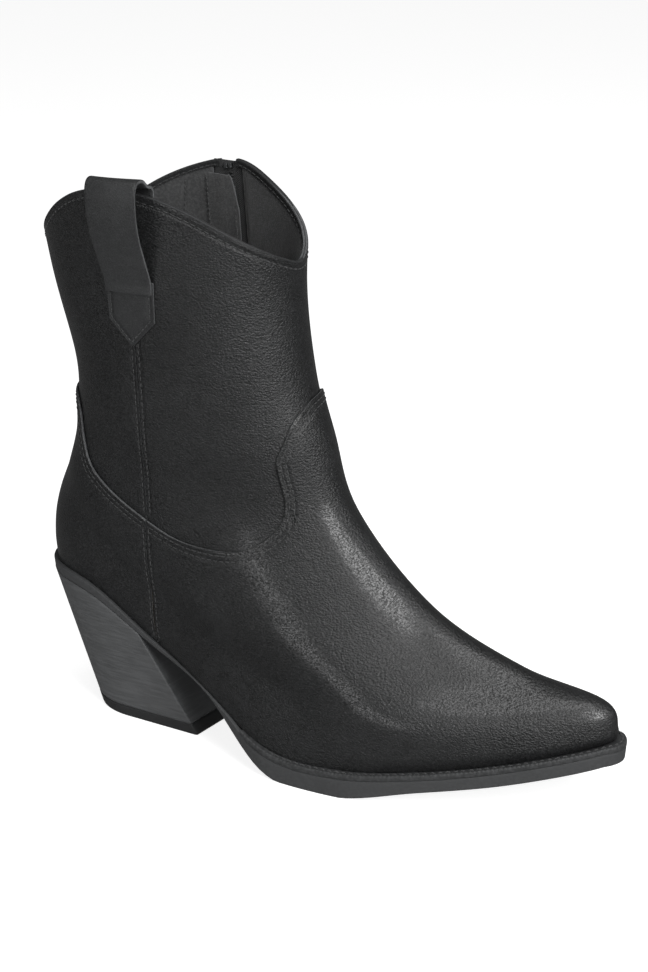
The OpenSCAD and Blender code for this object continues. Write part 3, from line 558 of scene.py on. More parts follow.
class Groups:
    """The node groups that the finishes share, each built once."""

    def __init__(self) -> None:
        """Starts with none built."""
        self.made: dict[str, bpy.types.NodeTree] = {}

    def start(self, name: str, inputs: Sequence[str],
              outputs: Sequence[str]) -> tuple[NodeKit, Callable, Callable]:
        """Makes an empty group with number sockets.

        Args:
            name: the group's name.
            inputs: names of its inputs.
            outputs: names of its outputs.
        """
        tree = bpy.data.node_groups.new(name, "ShaderNodeTree")
        for way, names in (("INPUT", inputs), ("OUTPUT", outputs)):
            for label in names:
                tree.interface.new_socket(label, in_out=way, socket_type="NodeSocketFloat")
        kit = NodeKit(tree)
        source, sink = kit.add("NodeGroupInput"), kit.add("NodeGroupOutput")
        self.made[name] = tree
        return (kit, lambda key: source.outputs[key],
                lambda key, value: tree.links.new(value, sink.inputs[key]))

    def place(self, kit: NodeKit, scale: object, stretch: object) -> bpy.types.NodeSocket:
        """Object coordinates, finer up and down by stretch."""
        coordinates = kit.add("ShaderNodeTexCoord").outputs["Object"]
        pull = kit.add("ShaderNodeCombineXYZ", {0: scale, 1: scale, 2: kit.math("MULTIPLY", scale, stretch)})
        return kit.add("ShaderNodeVectorMath", {0: coordinates, 1: pull.outputs[0]},
                       operation="MULTIPLY").outputs[0]

    def texture(self, kind: Texture) -> bpy.types.NodeTree:
        """The group of a texture, with inputs Scale and Stretch and outputs Height and Tone."""
        if kind.value in self.made:
            return self.made[kind.value]
        kit, take, give = self.start(kind.value, ["Scale", "Stretch"], ["Height", "Tone"])
        place = self.place(kit, take("Scale"), take("Stretch"))
        if kind is Texture.PEBBLE:
            cells = kit.add("ShaderNodeTexVoronoi", {"Vector": place, "Scale": 1.0}, feature="F1").outputs[0]
            fine = kit.noise(place, 2.6, 3.0)
            height = kit.math("ADD", kit.math("MULTIPLY", cells, -0.9), kit.math("MULTIPLY", fine, 0.8))
            tone = kit.ramp(kit.noise(place, 1.7, 4.0), 0.42, 0.62, 0.0, 1.0)
        elif kind is Texture.WEAVE:
            parts = kit.add("ShaderNodeSeparateXYZ", {0: place})
            warp = kit.math("SINE", kit.math("ADD", parts.outputs[0], parts.outputs[1]))
            weft = kit.math("SINE", parts.outputs[2])
            height = kit.math("MULTIPLY", warp, weft)
            tone = kit.math("ADD", kit.ramp(height, -1.0, 1.0, 0.0, 0.6),
                            kit.ramp(kit.noise(place, .15), .3, .7, 0, .4))
        elif kind is Texture.STREAK:
            parts = kit.add("ShaderNodeSeparateXYZ", {0: place})
            level = kit.add("ShaderNodeCombineXYZ", {0: kit.math("MULTIPLY", parts.outputs[0], .06),
                                                     1: kit.math("MULTIPLY", parts.outputs[1], .06),
                                                     2: parts.outputs[2]}).outputs[0]
            height = kit.noise(level, 1.0, 3.0)
            tone = kit.ramp(height, 0.35, 0.68, 0.0, 1.0)
        else:
            height = kit.noise(place, 1.0, 3.0)
            tone = kit.ramp(kit.noise(place, 0.45, 2.0), 0.35, 0.7, 0.0, 1.0)
        give("Height", height)
        give("Tone", tone)
        return self.made[kind.value]

    def patina(self) -> bpy.types.NodeTree:
        """The group of slow changes over a surface: input Amount, output Mask."""
        name = "Patina"
        if name not in self.made:
            kit, take, give = self.start(name, ["Amount"], ["Mask"])
            place = self.place(kit, 1.0, 1.0)
            wide, near = kit.noise(place, 24.0, 3.0), kit.noise(place, 160.0, 2.0)
            both = kit.math("ADD", kit.math("MULTIPLY", wide, .7), kit.math("MULTIPLY", near, .3))
            give("Mask", kit.math("MULTIPLY", kit.ramp(both, .4, .62, 0.0, 1.0), take("Amount")))
        return self.made[name]

    def pulled(self) -> bpy.types.NodeTree:
        """The group of the dip that stitches pull into leather: input Width, output Height."""
        name = "Stitch pull"
        if name not in self.made:
            kit, take, give = self.start(name, ["Width"], ["Height"])
            away = kit.add("ShaderNodeAttribute", attribute_name="stitch_mm").outputs["Fac"]
            share = kit.math("DIVIDE", away, take("Width"))
            give("Height", kit.ramp(share, 0.0, 1.0, 0.0, 1.0))
        return self.made[name]


GROUPS = Groups()


@dataclass(frozen=True)
class Finish:
    """One finish: its colours, gloss, surface texture, glossy flecks and the dip beside its stitches."""

    name: str
    colour: tuple[float, float, float]
    worn: tuple[float, float, float]
    roughness: float
    texture: Texture
    size: float
    depth: float
    rough_change: float = 0.1
    stretch: float = 1.0
    tone: float = 0.5
    patina: float = 0.5
    metallic: float = 0.0
    specular: float = 0.5
    sheen: float = 0.0
    pull_width: float = 1.9
    pull_depth: float = 0.55
    fleck: float = 0.0
    fleck_roughness: float = 0.2
    stitched: bool = False

    def material(self) -> bpy.types.Material:
        """Makes the material, or returns it if it's made already."""
        found = bpy.data.materials.get(self.name)
        if found:
            return found
        material = bpy.data.materials.new(self.name)
        material.use_nodes = True
        kit = NodeKit(material.node_tree)
        feeds = {"Scale": 1.0 / (self.size * MM), "Stretch": self.stretch}
        texture = kit.add("ShaderNodeGroup", node_tree=GROUPS.texture(self.texture))
        for key, value in feeds.items():
            texture.inputs[key].default_value = value
        patina = kit.add("ShaderNodeGroup", node_tree=GROUPS.patina())
        patina.inputs["Amount"].default_value = self.patina
        height, tone, aged = texture.outputs["Height"], texture.outputs["Tone"], patina.outputs["Mask"]
        share = kit.math("ADD", kit.math("MULTIPLY", tone, self.tone), kit.math("MULTIPLY", aged, .5))
        colour = kit.blend(share, (*self.colour, 1), (*self.worn, 1))
        rough = kit.math("ADD", kit.math("MULTIPLY", tone, self.rough_change), self.roughness)
        rough = kit.math("ADD", rough, kit.math("MULTIPLY", aged, self.rough_change * .6))
        bump = kit.add("ShaderNodeBump", {"Height": height, "Distance": self.depth * MM, "Strength": 1.0})
        if self.stitched:
            dip = kit.add("ShaderNodeGroup", node_tree=GROUPS.pulled())
            dip.inputs["Width"].default_value = self.pull_width
            bump = kit.add("ShaderNodeBump", {"Height": dip.outputs[0], "Distance": self.pull_depth * MM,
                                              "Strength": .8, "Normal": bump.outputs[0]})
        shader = kit.add("ShaderNodeBsdfPrincipled", {
            "Base Color": colour, "Roughness": rough, "Normal": bump.outputs[0], "Metallic": self.metallic,
            "Specular IOR Level": self.specular, "Sheen Weight": self.sheen, "Sheen Roughness": .5,
            "Coat Roughness": self.fleck_roughness})
        if self.fleck:
            kit.tree.links.new(kit.math("MULTIPLY", tone, self.fleck), shader.inputs["Coat Weight"])
        out = kit.add("ShaderNodeOutputMaterial")
        kit.tree.links.new(shader.outputs[0], out.inputs[0])
        return material


def grey(level: float, warm: float = 0.0) -> tuple[float, float, float]:
    """A near-black or grey, a little cool unless warm is above 0."""
    return (level * (.97 + warm), level, level * (1.03 - warm))


LEATHER = Finish("Upper leather", grey(.0035), grey(.018), .33, Texture.PEBBLE, 1.15, .30, rough_change=.10,
                 stretch=1.4, tone=.7, patina=.4, specular=.45, fleck=.6, stitched=True)
STRAP_LEATHER = Finish("Strap leather", grey(.013), grey(.036), .45, Texture.PEBBLE, 0.8, .12,
                       rough_change=.12, stretch=1.3, tone=.5, patina=.4, specular=.35, stitched=True)
RAW_EDGE = Finish("Cut edge", grey(.05), grey(.13), .75, Texture.SPECKLE, 0.4, .12)
THREAD = Finish("Sewing thread", grey(.012), grey(.03), .5, Texture.WEAVE, 0.08, .03, sheen=.2)
LINING = Finish("Brushed lining", grey(.030, .01), grey(.075, .02), .92, Texture.SPECKLE, 0.55, .25,
                sheen=.25, patina=.7, specular=.2, stitched=True)
TAPE = Finish("Zip tape", grey(.010), grey(.03), .85, Texture.WEAVE, 0.16, .12, sheen=.2)
COIL = Finish("Zip coil", grey(.010), grey(.02), .38, Texture.SPECKLE, 0.5, .02)
ZIP_METAL = Finish("Dark plated metal", grey(.16), grey(.3), .26, Texture.SPECKLE, 0.35, .008, metallic=1.0,
                   rough_change=.12)
STEEL = Finish("Plain steel", grey(.42), grey(.6), .35, Texture.STREAK, 0.3, .01, metallic=1.0)
BOARD = Finish("Pressed fibre", (.36, .26, .15), (.5, .38, .24), .8, Texture.SPECKLE, 0.8, .1)
CLOTH = Finish("Backing cloth", (.5, .48, .43), (.66, .63, .57), .85, Texture.WEAVE, 0.2, .1)
CORK = Finish("Ground cork", (.3, .18, .09), (.55, .37, .2), .85, Texture.SPECKLE, 1.4, .3, tone=.9)
FOAM = Finish("Heel foam", (.5, .47, .4), (.62, .59, .52), .9, Texture.SPECKLE, 0.6, .2)
WELT = Finish("Welt rubber", grey(.017), grey(.04), .55, Texture.SPECKLE, 0.7, .12, specular=.4)
OUTSOLE = Finish("Outsole rubber", grey(.030), grey(.045), .6, Texture.SPECKLE, 0.45, .05, specular=.35)
# Stacked heel: the dark heel stock's base grey is raised above its own colour, a painted reflection standing
# in for the broad reflections on its sides.
HEEL_WITH_PAINTED_REFLECTION = Finish("Stacked heel with painted reflection", grey(.046), grey(.076), .52, Texture.STREAK, 0.75, .09, rough_change=.12,
              specular=.4)
LIFT = Finish("Top lift rubber", grey(.014), grey(.024), .6, Texture.SPECKLE, 0.4, .05, specular=.35)


# --- Upper ---
@dataclass
class Upper:
    """The leathers of the boot and their stitching."""

    form: FootForm
    pattern: Pattern
    leather: float = 1.3
    layer_gap: float = 0.25
    seam_gap: float = 0.4
    zip_slot: float = 10.0
    vamp_stays: float = 80.0
    counter_stays: float = 135.0
    seam_column: float = 110.0
    rim_inset: float = 3.2
    full_by: float = 0.35
    ramp: float = 1.5

    def __post_init__(self) -> None:
        """Starts with no stitching."""
        self.seams: dict[str, list[Seam]] = {"vamp": [], "counter": [], "shaft": []}

    def lift(self, phi: Array, v: Array) -> Array:
        """How far the foxing rises over the shaft that it laps."""
        low = np.mean([self.pattern.shaft_low(phi + d) for d in range(-12, 13, 3)], axis=0)
        return (self.leather + self.layer_gap) * smooth((v - low + self.full_by) / self.ramp + 1)

    def panel(self, name: str, top: Array, seams: Sequence[Seam], finish: Finish, thickness: float,
              nodes: Sequence[str], slot: str, radius: float = 0.35) -> bpy.types.Object:
        """Makes one sheet that knows how far each point is from its stitching.

        Args:
            name: the piece's name.
            top: grid of outer points in millimetres.
            seams: the stitching near it.
            finish: its finish.
            thickness: in millimetres.
            nodes: the CAD nodes it stands for.
            slot: a material slot's name; not used.
            radius: radius of its rounded edges.

        Returns:
            The new object.
        """
        points, faces = sheet_mesh(top, thickness, radius)
        obj = add_object(name, self.form.placed(points), faces, finish.material())
        obj.data.materials.append(RAW_EDGE.material())
        rim = 2 * (top.shape[0] + top.shape[1]) - 4
        edge = np.zeros(len(faces), np.int32)
        edge[-rim:] = 1
        if len(edge) == len(obj.data.polygons):
            obj.data.polygons.foreach_set("material_index", edge)
        self.mark(obj, points, seams)
        if nodes:
            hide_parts(*nodes)
        return obj

    def mark(self, obj: bpy.types.Object, points: Array, seams: Sequence[Seam], most: float = 6.0) -> None:
        """Writes each point's distance to the nearest stitching, at most the given millimetres."""
        away = np.full(len(points), most, np.float32)
        if seams:
            lines = np.vstack([seam.line(self.form)[0] for seam in seams])
            tree = KDTree(len(lines))
            for i, p in enumerate(lines):
                tree.insert(p, i)
            tree.balance()
            away = np.minimum([tree.find(p)[2] for p in points], most).astype(np.float32)
        obj.data.attributes.new("stitch_mm", "FLOAT", "POINT").data.foreach_set("value", away)

    def stitch(self, name: str, seams: Sequence[Seam], inside: bool = False,
               slot: str = "upper_leather") -> None:
        """Sews the rows of one group as one piece."""
        runs = []
        for seam in seams:
            line, out = seam.line(self.form)
            runs.append(tube_run(line, -out if inside else out, seam.pitch, seam.thread))
        points, faces = joined(runs)
        add_object(name, self.form.placed(points), faces, THREAD.material())

    def foxing_rows(self, edge: Array) -> Array:
        """Stations up each column of a foxing panel, from the lasting margin to its edge."""
        low = np.concatenate([[-1, -.5, 0, .04], np.arange(.1, 3.41, .1)])
        share = np.linspace(0, 1, 34)[1:]
        return np.concatenate([np.broadcast_to(low, (len(edge), len(low))),
                               mix(low[-1], edge[:, None], share)], 1)

    def edge_rows(self, low: float, high: float, distances: Sequence[float]) -> list[Seam]:
        """Stitch rows inside the foxing's edge between two angles."""
        phi = self.pattern.columns(low, high, .8)
        rows = []
        for distance in distances:
            a, v = self.form.inset(phi, self.pattern.foxing(phi), -distance)
            for _ in range(4):
                a[1:-1] = (a[:-2] + 2 * a[1:-1] + a[2:]) / 4
                v[1:-1] = (v[:-2] + 2 * v[1:-1] + v[2:]) / 4
            rows.append(Seam(a, v, self.lift(a, v)))
        return rows

    def seam_rows(self, side: int, way: float, low: float, high: float, count: int = 90) -> Seam:
        """A stitch row beside a side seam: side is -1 outside and 1 inside, way is towards the front."""
        v = np.linspace(low, high, count)
        phi, v = self.form.inset(-side * self.form.seam(v), v, -way if side < 0 else way)
        return Seam(phi, v, self.lift(phi, v) if low < 4 else 0 * v)

    def build_foxing(self) -> None:
        """The vamp with its tongue, and the heel counter with its back tab."""
        form, pattern = self.form, self.pattern
        ends = [float(pattern.foxing(form.seam(4.6) * s)) for s in (1, -1)]
        front = pattern.columns(float(form.seam(4.6)) + 1.3, -float(form.seam(4.6)) - 1.3, .8)
        vamp_rows = self.edge_rows(front[0], front[-1], (2.0, 4.4))
        back = self.edge_rows(-float(form.seam(4.6)) + 1.3, 360 + float(form.seam(4.6)) - 1.3, (2.0, 4.4))
        vamp_rows += [self.seam_rows(-1, 1.7, .35, ends[0] - .12), self.seam_rows(1, 1.7, .35, ends[1] - .12)]
        back += [self.seam_rows(-1, -1.7, .35, ends[0] - .12), self.seam_rows(1, -1.7, .35, ends[1] - .12)]
        self.seams["vamp"], self.seams["counter"] = vamp_rows, back

        columns = pattern.columns(-self.seam_column, self.seam_column)
        v = self.foxing_rows(pattern.foxing(columns))
        share = (np.abs(columns) - self.vamp_stays) / (self.seam_column - self.vamp_stays)
        share = np.clip(share, 0, 1)[:, None]
        meets = -form.seam(np.maximum(v, 0))
        phi = np.where(np.abs(columns)[:, None] < self.vamp_stays, columns[:, None],
                       np.sign(columns)[:, None] * mix(self.vamp_stays, meets, share))
        top = form.skin(phi, v, self.lift(phi, v))
        self.panel("vamp_leather", top, vamp_rows, LEATHER, self.leather, ["vamp"], "upper_leather")

        columns = pattern.columns(self.seam_column, 360 - self.seam_column)
        v = self.foxing_rows(pattern.foxing(columns))
        near = np.where(columns > 180, 360 - columns, columns)[:, None]
        share = np.clip((near - self.counter_stays) / (self.seam_column - self.counter_stays), 0, 1)
        half = mix(self.counter_stays, self.seam_gap - form.seam(np.maximum(v, 0)), share)
        half = np.where(near > self.counter_stays, near, half)
        phi = np.where(columns[:, None] > 180, 360 - half, half)
        top = form.skin(phi, v, self.lift(phi, v))
        self.panel("counter_leather", top, back, LEATHER, self.leather, ["heel_counter"], "upper_leather")
        self.stitch("vamp_stitching", vamp_rows)
        self.stitch("counter_stitching", back)

    def shaft_grid(self, start: Edge, end: Edge, low: Edge, count: int, rows: int, offset: float) -> Array:
        """Outer points of a shaft panel.

        Args:
            start: angle of its first edge by station.
            end: angle of its last edge by station.
            low: station of its foot by angle.
            count: how many columns.
            rows: how many rows.
            offset: distance out from the form.

        Returns:
            Grid of points in millimetres.
        """
        s = np.linspace(0, 1, count)[:, None]

        def column(v: Array) -> Array:
            """Angles of all columns at stations v."""
            return mix(start(v), end(v), s)

        foot = low(column(low(column(np.full_like(s, 6.5)))))
        v = mix(foot, self.pattern.rim(column(np.full_like(s, 8.9))), np.linspace(0, 1, rows)[None, :])
        return self.form.skin(column(v), v, offset)

    def rim_row(self, low: float, high: float, distance: float, offset: float = 0.0) -> Seam:
        """A stitch row at a distance below the rim."""
        phi = np.linspace(low, high, int(abs(high - low)))
        a, v = self.form.inset(phi, self.pattern.rim(phi), -distance)
        return Seam(a, v, np.full_like(v, offset), pitch=3.3)

    def build_shaft(self) -> None:
        """The front and back panels of the shaft, with the side seam, rim and zip stitching."""
        form, half = self.form, self.zip_slot / 2
        v = np.linspace(4.75, 8.8, 120)
        beside = [Seam(form.zip_angle(v, s * 7.4), v, 0 * v) for s in (1, -1)]
        zip_at = [float(form.zip_angle(8.9, s * 7.4)) for s in (1, -1)]
        outer = float(form.seam(8.9))
        front = [self.rim_row(outer + 1, zip_at[0], self.rim_inset), self.seam_rows(-1, 1.8, 4.62, 8.9),
                 beside[0]]
        back = [self.rim_row(zip_at[1], 360 + outer - 1, self.rim_inset), self.seam_rows(-1, -1.8, 4.62, 8.9),
                beside[1]]
        low = self.pattern.shaft_low
        gap = self.seam_gap / 2
        top = self.shaft_grid(lambda a: form.seam(a) + gap, lambda a: form.zip_angle(a, half),
                              low, 150, 110, 0)
        self.panel("shaft_front_leather", top, front, LEATHER, self.leather, ["shaft_front"], "upper_leather")
        top = self.shaft_grid(lambda a: form.zip_angle(a, -half), lambda a: 360 + form.seam(a) - gap,
                              low, 130, 110, 0)
        self.panel("shaft_back_leather", top, back, LEATHER, self.leather, ["shaft_back"], "upper_leather")
        self.stitch("shaft_front_stitching", front)
        self.stitch("shaft_back_stitching", back)

    def build_rim(self) -> None:
        """The folded edge that closes leather and lining over the rim, with its inner stitching."""
        form, pattern = self.form, self.pattern
        outer = float(form.seam(8.9))
        spans = {"front": (outer + .3, float(form.zip_angle(8.95, 5.2))),
                 "back": (float(form.zip_angle(8.95, -5.2)), 360 + outer - .3)}
        profile = rounded([[.04, -.5], [.05, -.15], [-.04, .16], [-.8, .34], [-1.7, .3], [-2.5, .05],
                           [-2.62, -.6], [-2.62, -2.6], [-2.62, -3.0]], 2)
        seams = []
        for name, (low, high) in spans.items():
            phi = np.linspace(low, high, 200)[:, None]
            point = form.skin(phi, pattern.rim(phi), profile[None, :, 0])
            up = form.surface(phi, pattern.rim(phi) + .01) - form.surface(phi, pattern.rim(phi) - .01)
            slope = unit(np.gradient(form.surface(phi, pattern.rim(phi)), axis=0))
            up = unit(up - (up * slope).sum(-1, keepdims=True) * slope)
            top = point + up * profile[None, :, 1:2]
            seam = self.rim_row(low + 1.5, high - 1.5, 2.2, -2.66)
            seams.append(seam)
            points, faces = sheet_mesh(top, .3, .1)
            obj = add_object(f"rim_fold_{name}", form.placed(points), faces, STRAP_LEATHER.material())
            self.mark(obj, points, [seam])
        self.stitch("rim_inner_stitching", seams, inside=True)


@dataclass
class PullStrap:
    """The pull strap over the outer side of the rim, and the pointed patch that holds its end."""

    form: FootForm
    upper: Upper
    width: float = 23.5
    thickness: float = 1.6
    patch: float = 1.1
    reach: float = 14.5
    station: float = 8.0
    patch_side: float = 7.68
    patch_point: float = 7.38

    def x(self, s: Array) -> Array:
        """Distance from the heel point at share s of the width, from back to front."""
        return self.form.seam_x - .5 + (s - .5) * self.width

    def loop(self) -> Array:
        """Outer points of the strap, from the patch over the rim and down inside."""
        base, last = .5 + self.patch + self.thickness / 2, 9.0
        under = -self.upper.leather - .8 - .625 - self.thickness / 2
        top, reach = last + .15, self.reach
        path = np.array([[8, base], [8.14, base + .4], [8.36, reach * .46], [8.6, reach * .78],
                         [8.82, reach * .96], [last + .02, reach], [top - .03, reach * .86],
                         [top, reach * .64], [top - .02, reach * .36],
                         [top - .08, reach * .12], [last + .02, under + .6], [last - .1, under],
                         [last - .35, under], [last - .6, under]])
        t = np.arange(0, len(path) - .99, .1)
        p = curve_through(path, t)
        d = curve_through(path, t + .05) - curve_through(path, t - .05)
        n = unit(np.stack([d[:, 1], -45 * d[:, 0]], -1))
        station, off = p[:, 0] - n[:, 0] * self.thickness / 90, p[:, 1] - n[:, 1] * self.thickness / 2
        s = np.linspace(0, 1, 17)[:, None]
        below = np.minimum(station, last)[None, :]
        phi = -self.form.angle_at(self.x(s), below)
        middle = -self.form.angle_at(self.x(np.array([[.5]])), below)
        out = self.form.normal(middle, station[None, :])
        return self.form.surface(phi, np.broadcast_to(station, phi.shape)) + off[None, :, None] * out

    def build(self) -> None:
        """Makes the patch, its stitching and the loop."""
        form = self.form
        s = np.linspace(0, 1, 41)[:, None]
        low = self.patch_side - (self.patch_side - self.patch_point) * (1 - np.abs(2 * s - 1))
        v = mix(low, self.station + .12, np.linspace(0, 1, 30)[None, :])
        level = self.upper.layer_gap + self.patch
        top = form.skin(-form.angle_at(self.x(s), v), v, level)
        corners = [[.08, 8.06], [.08, self.patch_side + .02], [.5, self.patch_point + .055],
                   [.92, self.patch_side + .02], [.92, 8.06], [.08, 8.06]]
        outline = np.vstack([mix(np.array(a), np.array(b), np.linspace(0, 1, 24)[:, None])
                             for a, b in zip(corners[:-1], corners[1:])])
        seam = Seam(-form.angle_at(self.x(outline[:, 0]), outline[:, 1]), outline[:, 1],
                    np.full(len(outline), level), pitch=2.6)
        self.upper.panel("patch_leather", top, [seam], STRAP_LEATHER, self.patch, ["strap_patch"],
                         "upper_leather")
        self.upper.stitch("patch_stitching", [seam])
        self.upper.panel("strap_leather", self.loop(), [], STRAP_LEATHER, self.thickness, ["pull_strap"],
                         "upper_leather", radius=.45)


@dataclass
class Linings:
    """The linings, the zip guard and what the foot stands on."""

    form: FootForm
    upper: Upper
    lining: float = 0.8
    low: float = 3.9

    def build(self) -> None:
        """Makes the linings of shaft and foot, the guard flap, the sock liner and the heel pad."""
        form, upper = self.form, self.upper
        level = -upper.leather - upper.layer_gap
        beside = 9.2
        v = np.linspace(5.2, 8.75, 90)
        inner = Seam(form.angle_at(45.0, v), v, np.full_like(v, level - self.lining), pitch=2.6)
        foot: Edge = lambda a: np.full_like(a, self.low)
        gap = upper.seam_gap
        top = upper.shaft_grid(lambda a: form.seam(a) + gap, lambda a: form.zip_angle(a, beside), foot,
                               70, 70, level)
        upper.panel("lining_front", top, [], LINING, self.lining, ["shaft_lining_front"], "lining", .15)
        top = upper.shaft_grid(lambda a: form.zip_angle(a, -beside), lambda a: 360 + form.seam(a) - gap, foot,
                               90, 90, level)
        upper.panel("lining_back", top, [inner], LINING, self.lining, ["shaft_lining_back"], "lining", .15)
        upper.stitch("lining_stitching", [inner], inside=True, slot="lining")
        foot_level = -upper.leather - .9 - 2.4 * upper.layer_gap
        for name, low, high, node in (("lining_foot", -125, 125, "foot_lining"),
                                      ("lining_heel", 125.8, 234.2, "heel_lining")):
            phi = np.linspace(low, high, 120)[:, None]
            up = np.concatenate([np.arange(.35, 1, .1), np.linspace(1, 4.2, 34)])[None, :]
            top = form.skin(phi, up, foot_level)
            upper.panel(name, top, [], LINING, self.lining, [node], "lining", .15)
        self.build_guard(level)
        self.build_bed()

    def build_guard(self, level: float) -> None:
        """The flap behind the zip, with its rounded corner and sewn rear edge."""
        form, thick = self.form, 0.8
        rest = level - self.lining - .125
        stand = -4.1
        dx = np.concatenate([np.linspace(6.5, -13, 60), [-14.0]])
        weight = np.interp(dx, [-14, -11, -8, -4, 0, 6.5], [0, .05, .5, .95, 1, 1])
        head = .16 + .34 * smooth((dx - .5) / 6.5) ** 2
        low, high = self.upper.pattern.foxing(90.0) - .22, self.upper.pattern.rim(90.0)
        v = mix(low, (high - head)[:, None], np.linspace(0, 1, 80)[None, :])
        off = np.broadcast_to(mix(rest, stand, weight)[:, None], v.shape)
        phi = form.zip_angle(v, dx[:, None])
        grid = form.skin(phi, v, off)[::-1]
        up = np.linspace(float(low) + .1, float(high) - .2, 120)
        rows = [Seam(form.zip_angle(up, x), up, np.full_like(up, o), pitch=2.4, thread=.3)
                for x, o in ((-12.6, rest - thick - .05), (5.2, stand - thick - .05))]
        rows[1] = Seam(*(a[:-8] for a in (rows[1].phi, rows[1].v, rows[1].offset)), pitch=2.4, thread=.2)
        self.upper.panel("zip_guard_flap", grid, rows, LINING, thick, ["zip_guard"], "lining", .2)
        self.upper.stitch("zip_guard_stitching", rows, inside=True, slot="lining")

    def build_bed(self) -> None:
        """The sock liner and the heel pad under it."""
        form = self.form
        inset = self.upper.leather + .9 + .8 + 8 * self.upper.layer_gap + .6
        phi = np.arange(0, 360, 3.0)
        base = self.upper.leather + .4 + 1.9 + .2

        def rings(edge: Callable[[float], Array], lift: Callable[[Array], Array],
                  thick: float) -> list[Array]:
            """Rings from the top to the underside of a thin pad."""
            steps = [(.8, thick), (.25, thick - .1), (0, thick - .4), (0, 0)]
            out = []
            for m, z in steps:
                p = edge(m)
                out.append(form.at_sole(p, lift(p[:, 0]) + z))
            return out

        bed = lofted(rings(lambda m: form.outer_edge(phi, -inset - m + 0 * phi),
                           lambda x: base + 3.2 * smooth((108 - x) / 22), 1.2), 14)
        sock = add_object("sock_liner_sheet", form.placed(bed[0]), bed[1], LINING.material())
        self.upper.mark(sock, bed[0], [])
        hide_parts("sock_liner")
        depth = form.depth(phi)

        def pad_edge(m: float) -> Array:
            """Outline of the heel pad, drawn in by m."""
            return np.stack([9 + m + depth * (73 - 2 * m), np.sin(np.radians(phi)) * (20 - m)], -1)

        mesh = lofted(rings(pad_edge, lambda x: base + 0 * x, 3.0), 10)
        pad = add_object("heel_pad_foam", form.placed(mesh[0]), mesh[1], FOAM.material())
        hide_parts("heel_pad")


def lofted(rings: Sequence[Array], steps: int) -> tuple[Array, list[list[int]]]:
    """A closed solid through rings that mirror about their first point, from its top to its underside.

    Args:
        rings: equal rings that turn from the front towards the inner side.
        steps: how many faces lie across each lid.

    Returns:
        Points and faces.
    """
    n = len(rings[0])
    points = [np.vstack(rings)]
    faces: list[list[int]] = []
    turn = np.arange(n)
    for k in range(len(rings) - 1):
        a, b = k * n + turn, (k + 1) * n + turn
        faces += np.stack([a, b, np.roll(b, -1), np.roll(a, -1)], -1).tolist()
    start = len(rings) * n
    half = n // 2
    for k, ring, flip in ((0, rings[0], False), (len(rings) - 1, rings[-1], True)):
        left, right = ring[1:half], ring[:half:-1][:half - 1]
        share = np.linspace(0, 1, steps + 1)[1:-1]
        inner = mix(left[:, None], right[:, None], share[None, :, None])
        points.append(inner.reshape(-1, 3))
        lines = np.concatenate([(k * n + turn[1:half])[:, None],
                                start + np.arange((half - 1) * (steps - 1)).reshape(half - 1, steps - 1),
                                (k * n + turn[:half:-1][:half - 1])[:, None]], 1)
        quads = np.stack([lines[:-1, :-1], lines[1:, :-1], lines[1:, 1:], lines[:-1, 1:]], -1).reshape(-1, 4)
        tips = [[k * n, *lines[0]], [k * n + half, *lines[-1][::-1]]]
        faces += [f[::-1] if flip else f for f in quads.tolist() + tips]
        start += len(inner.reshape(-1, 3))
    return np.vstack(points), faces


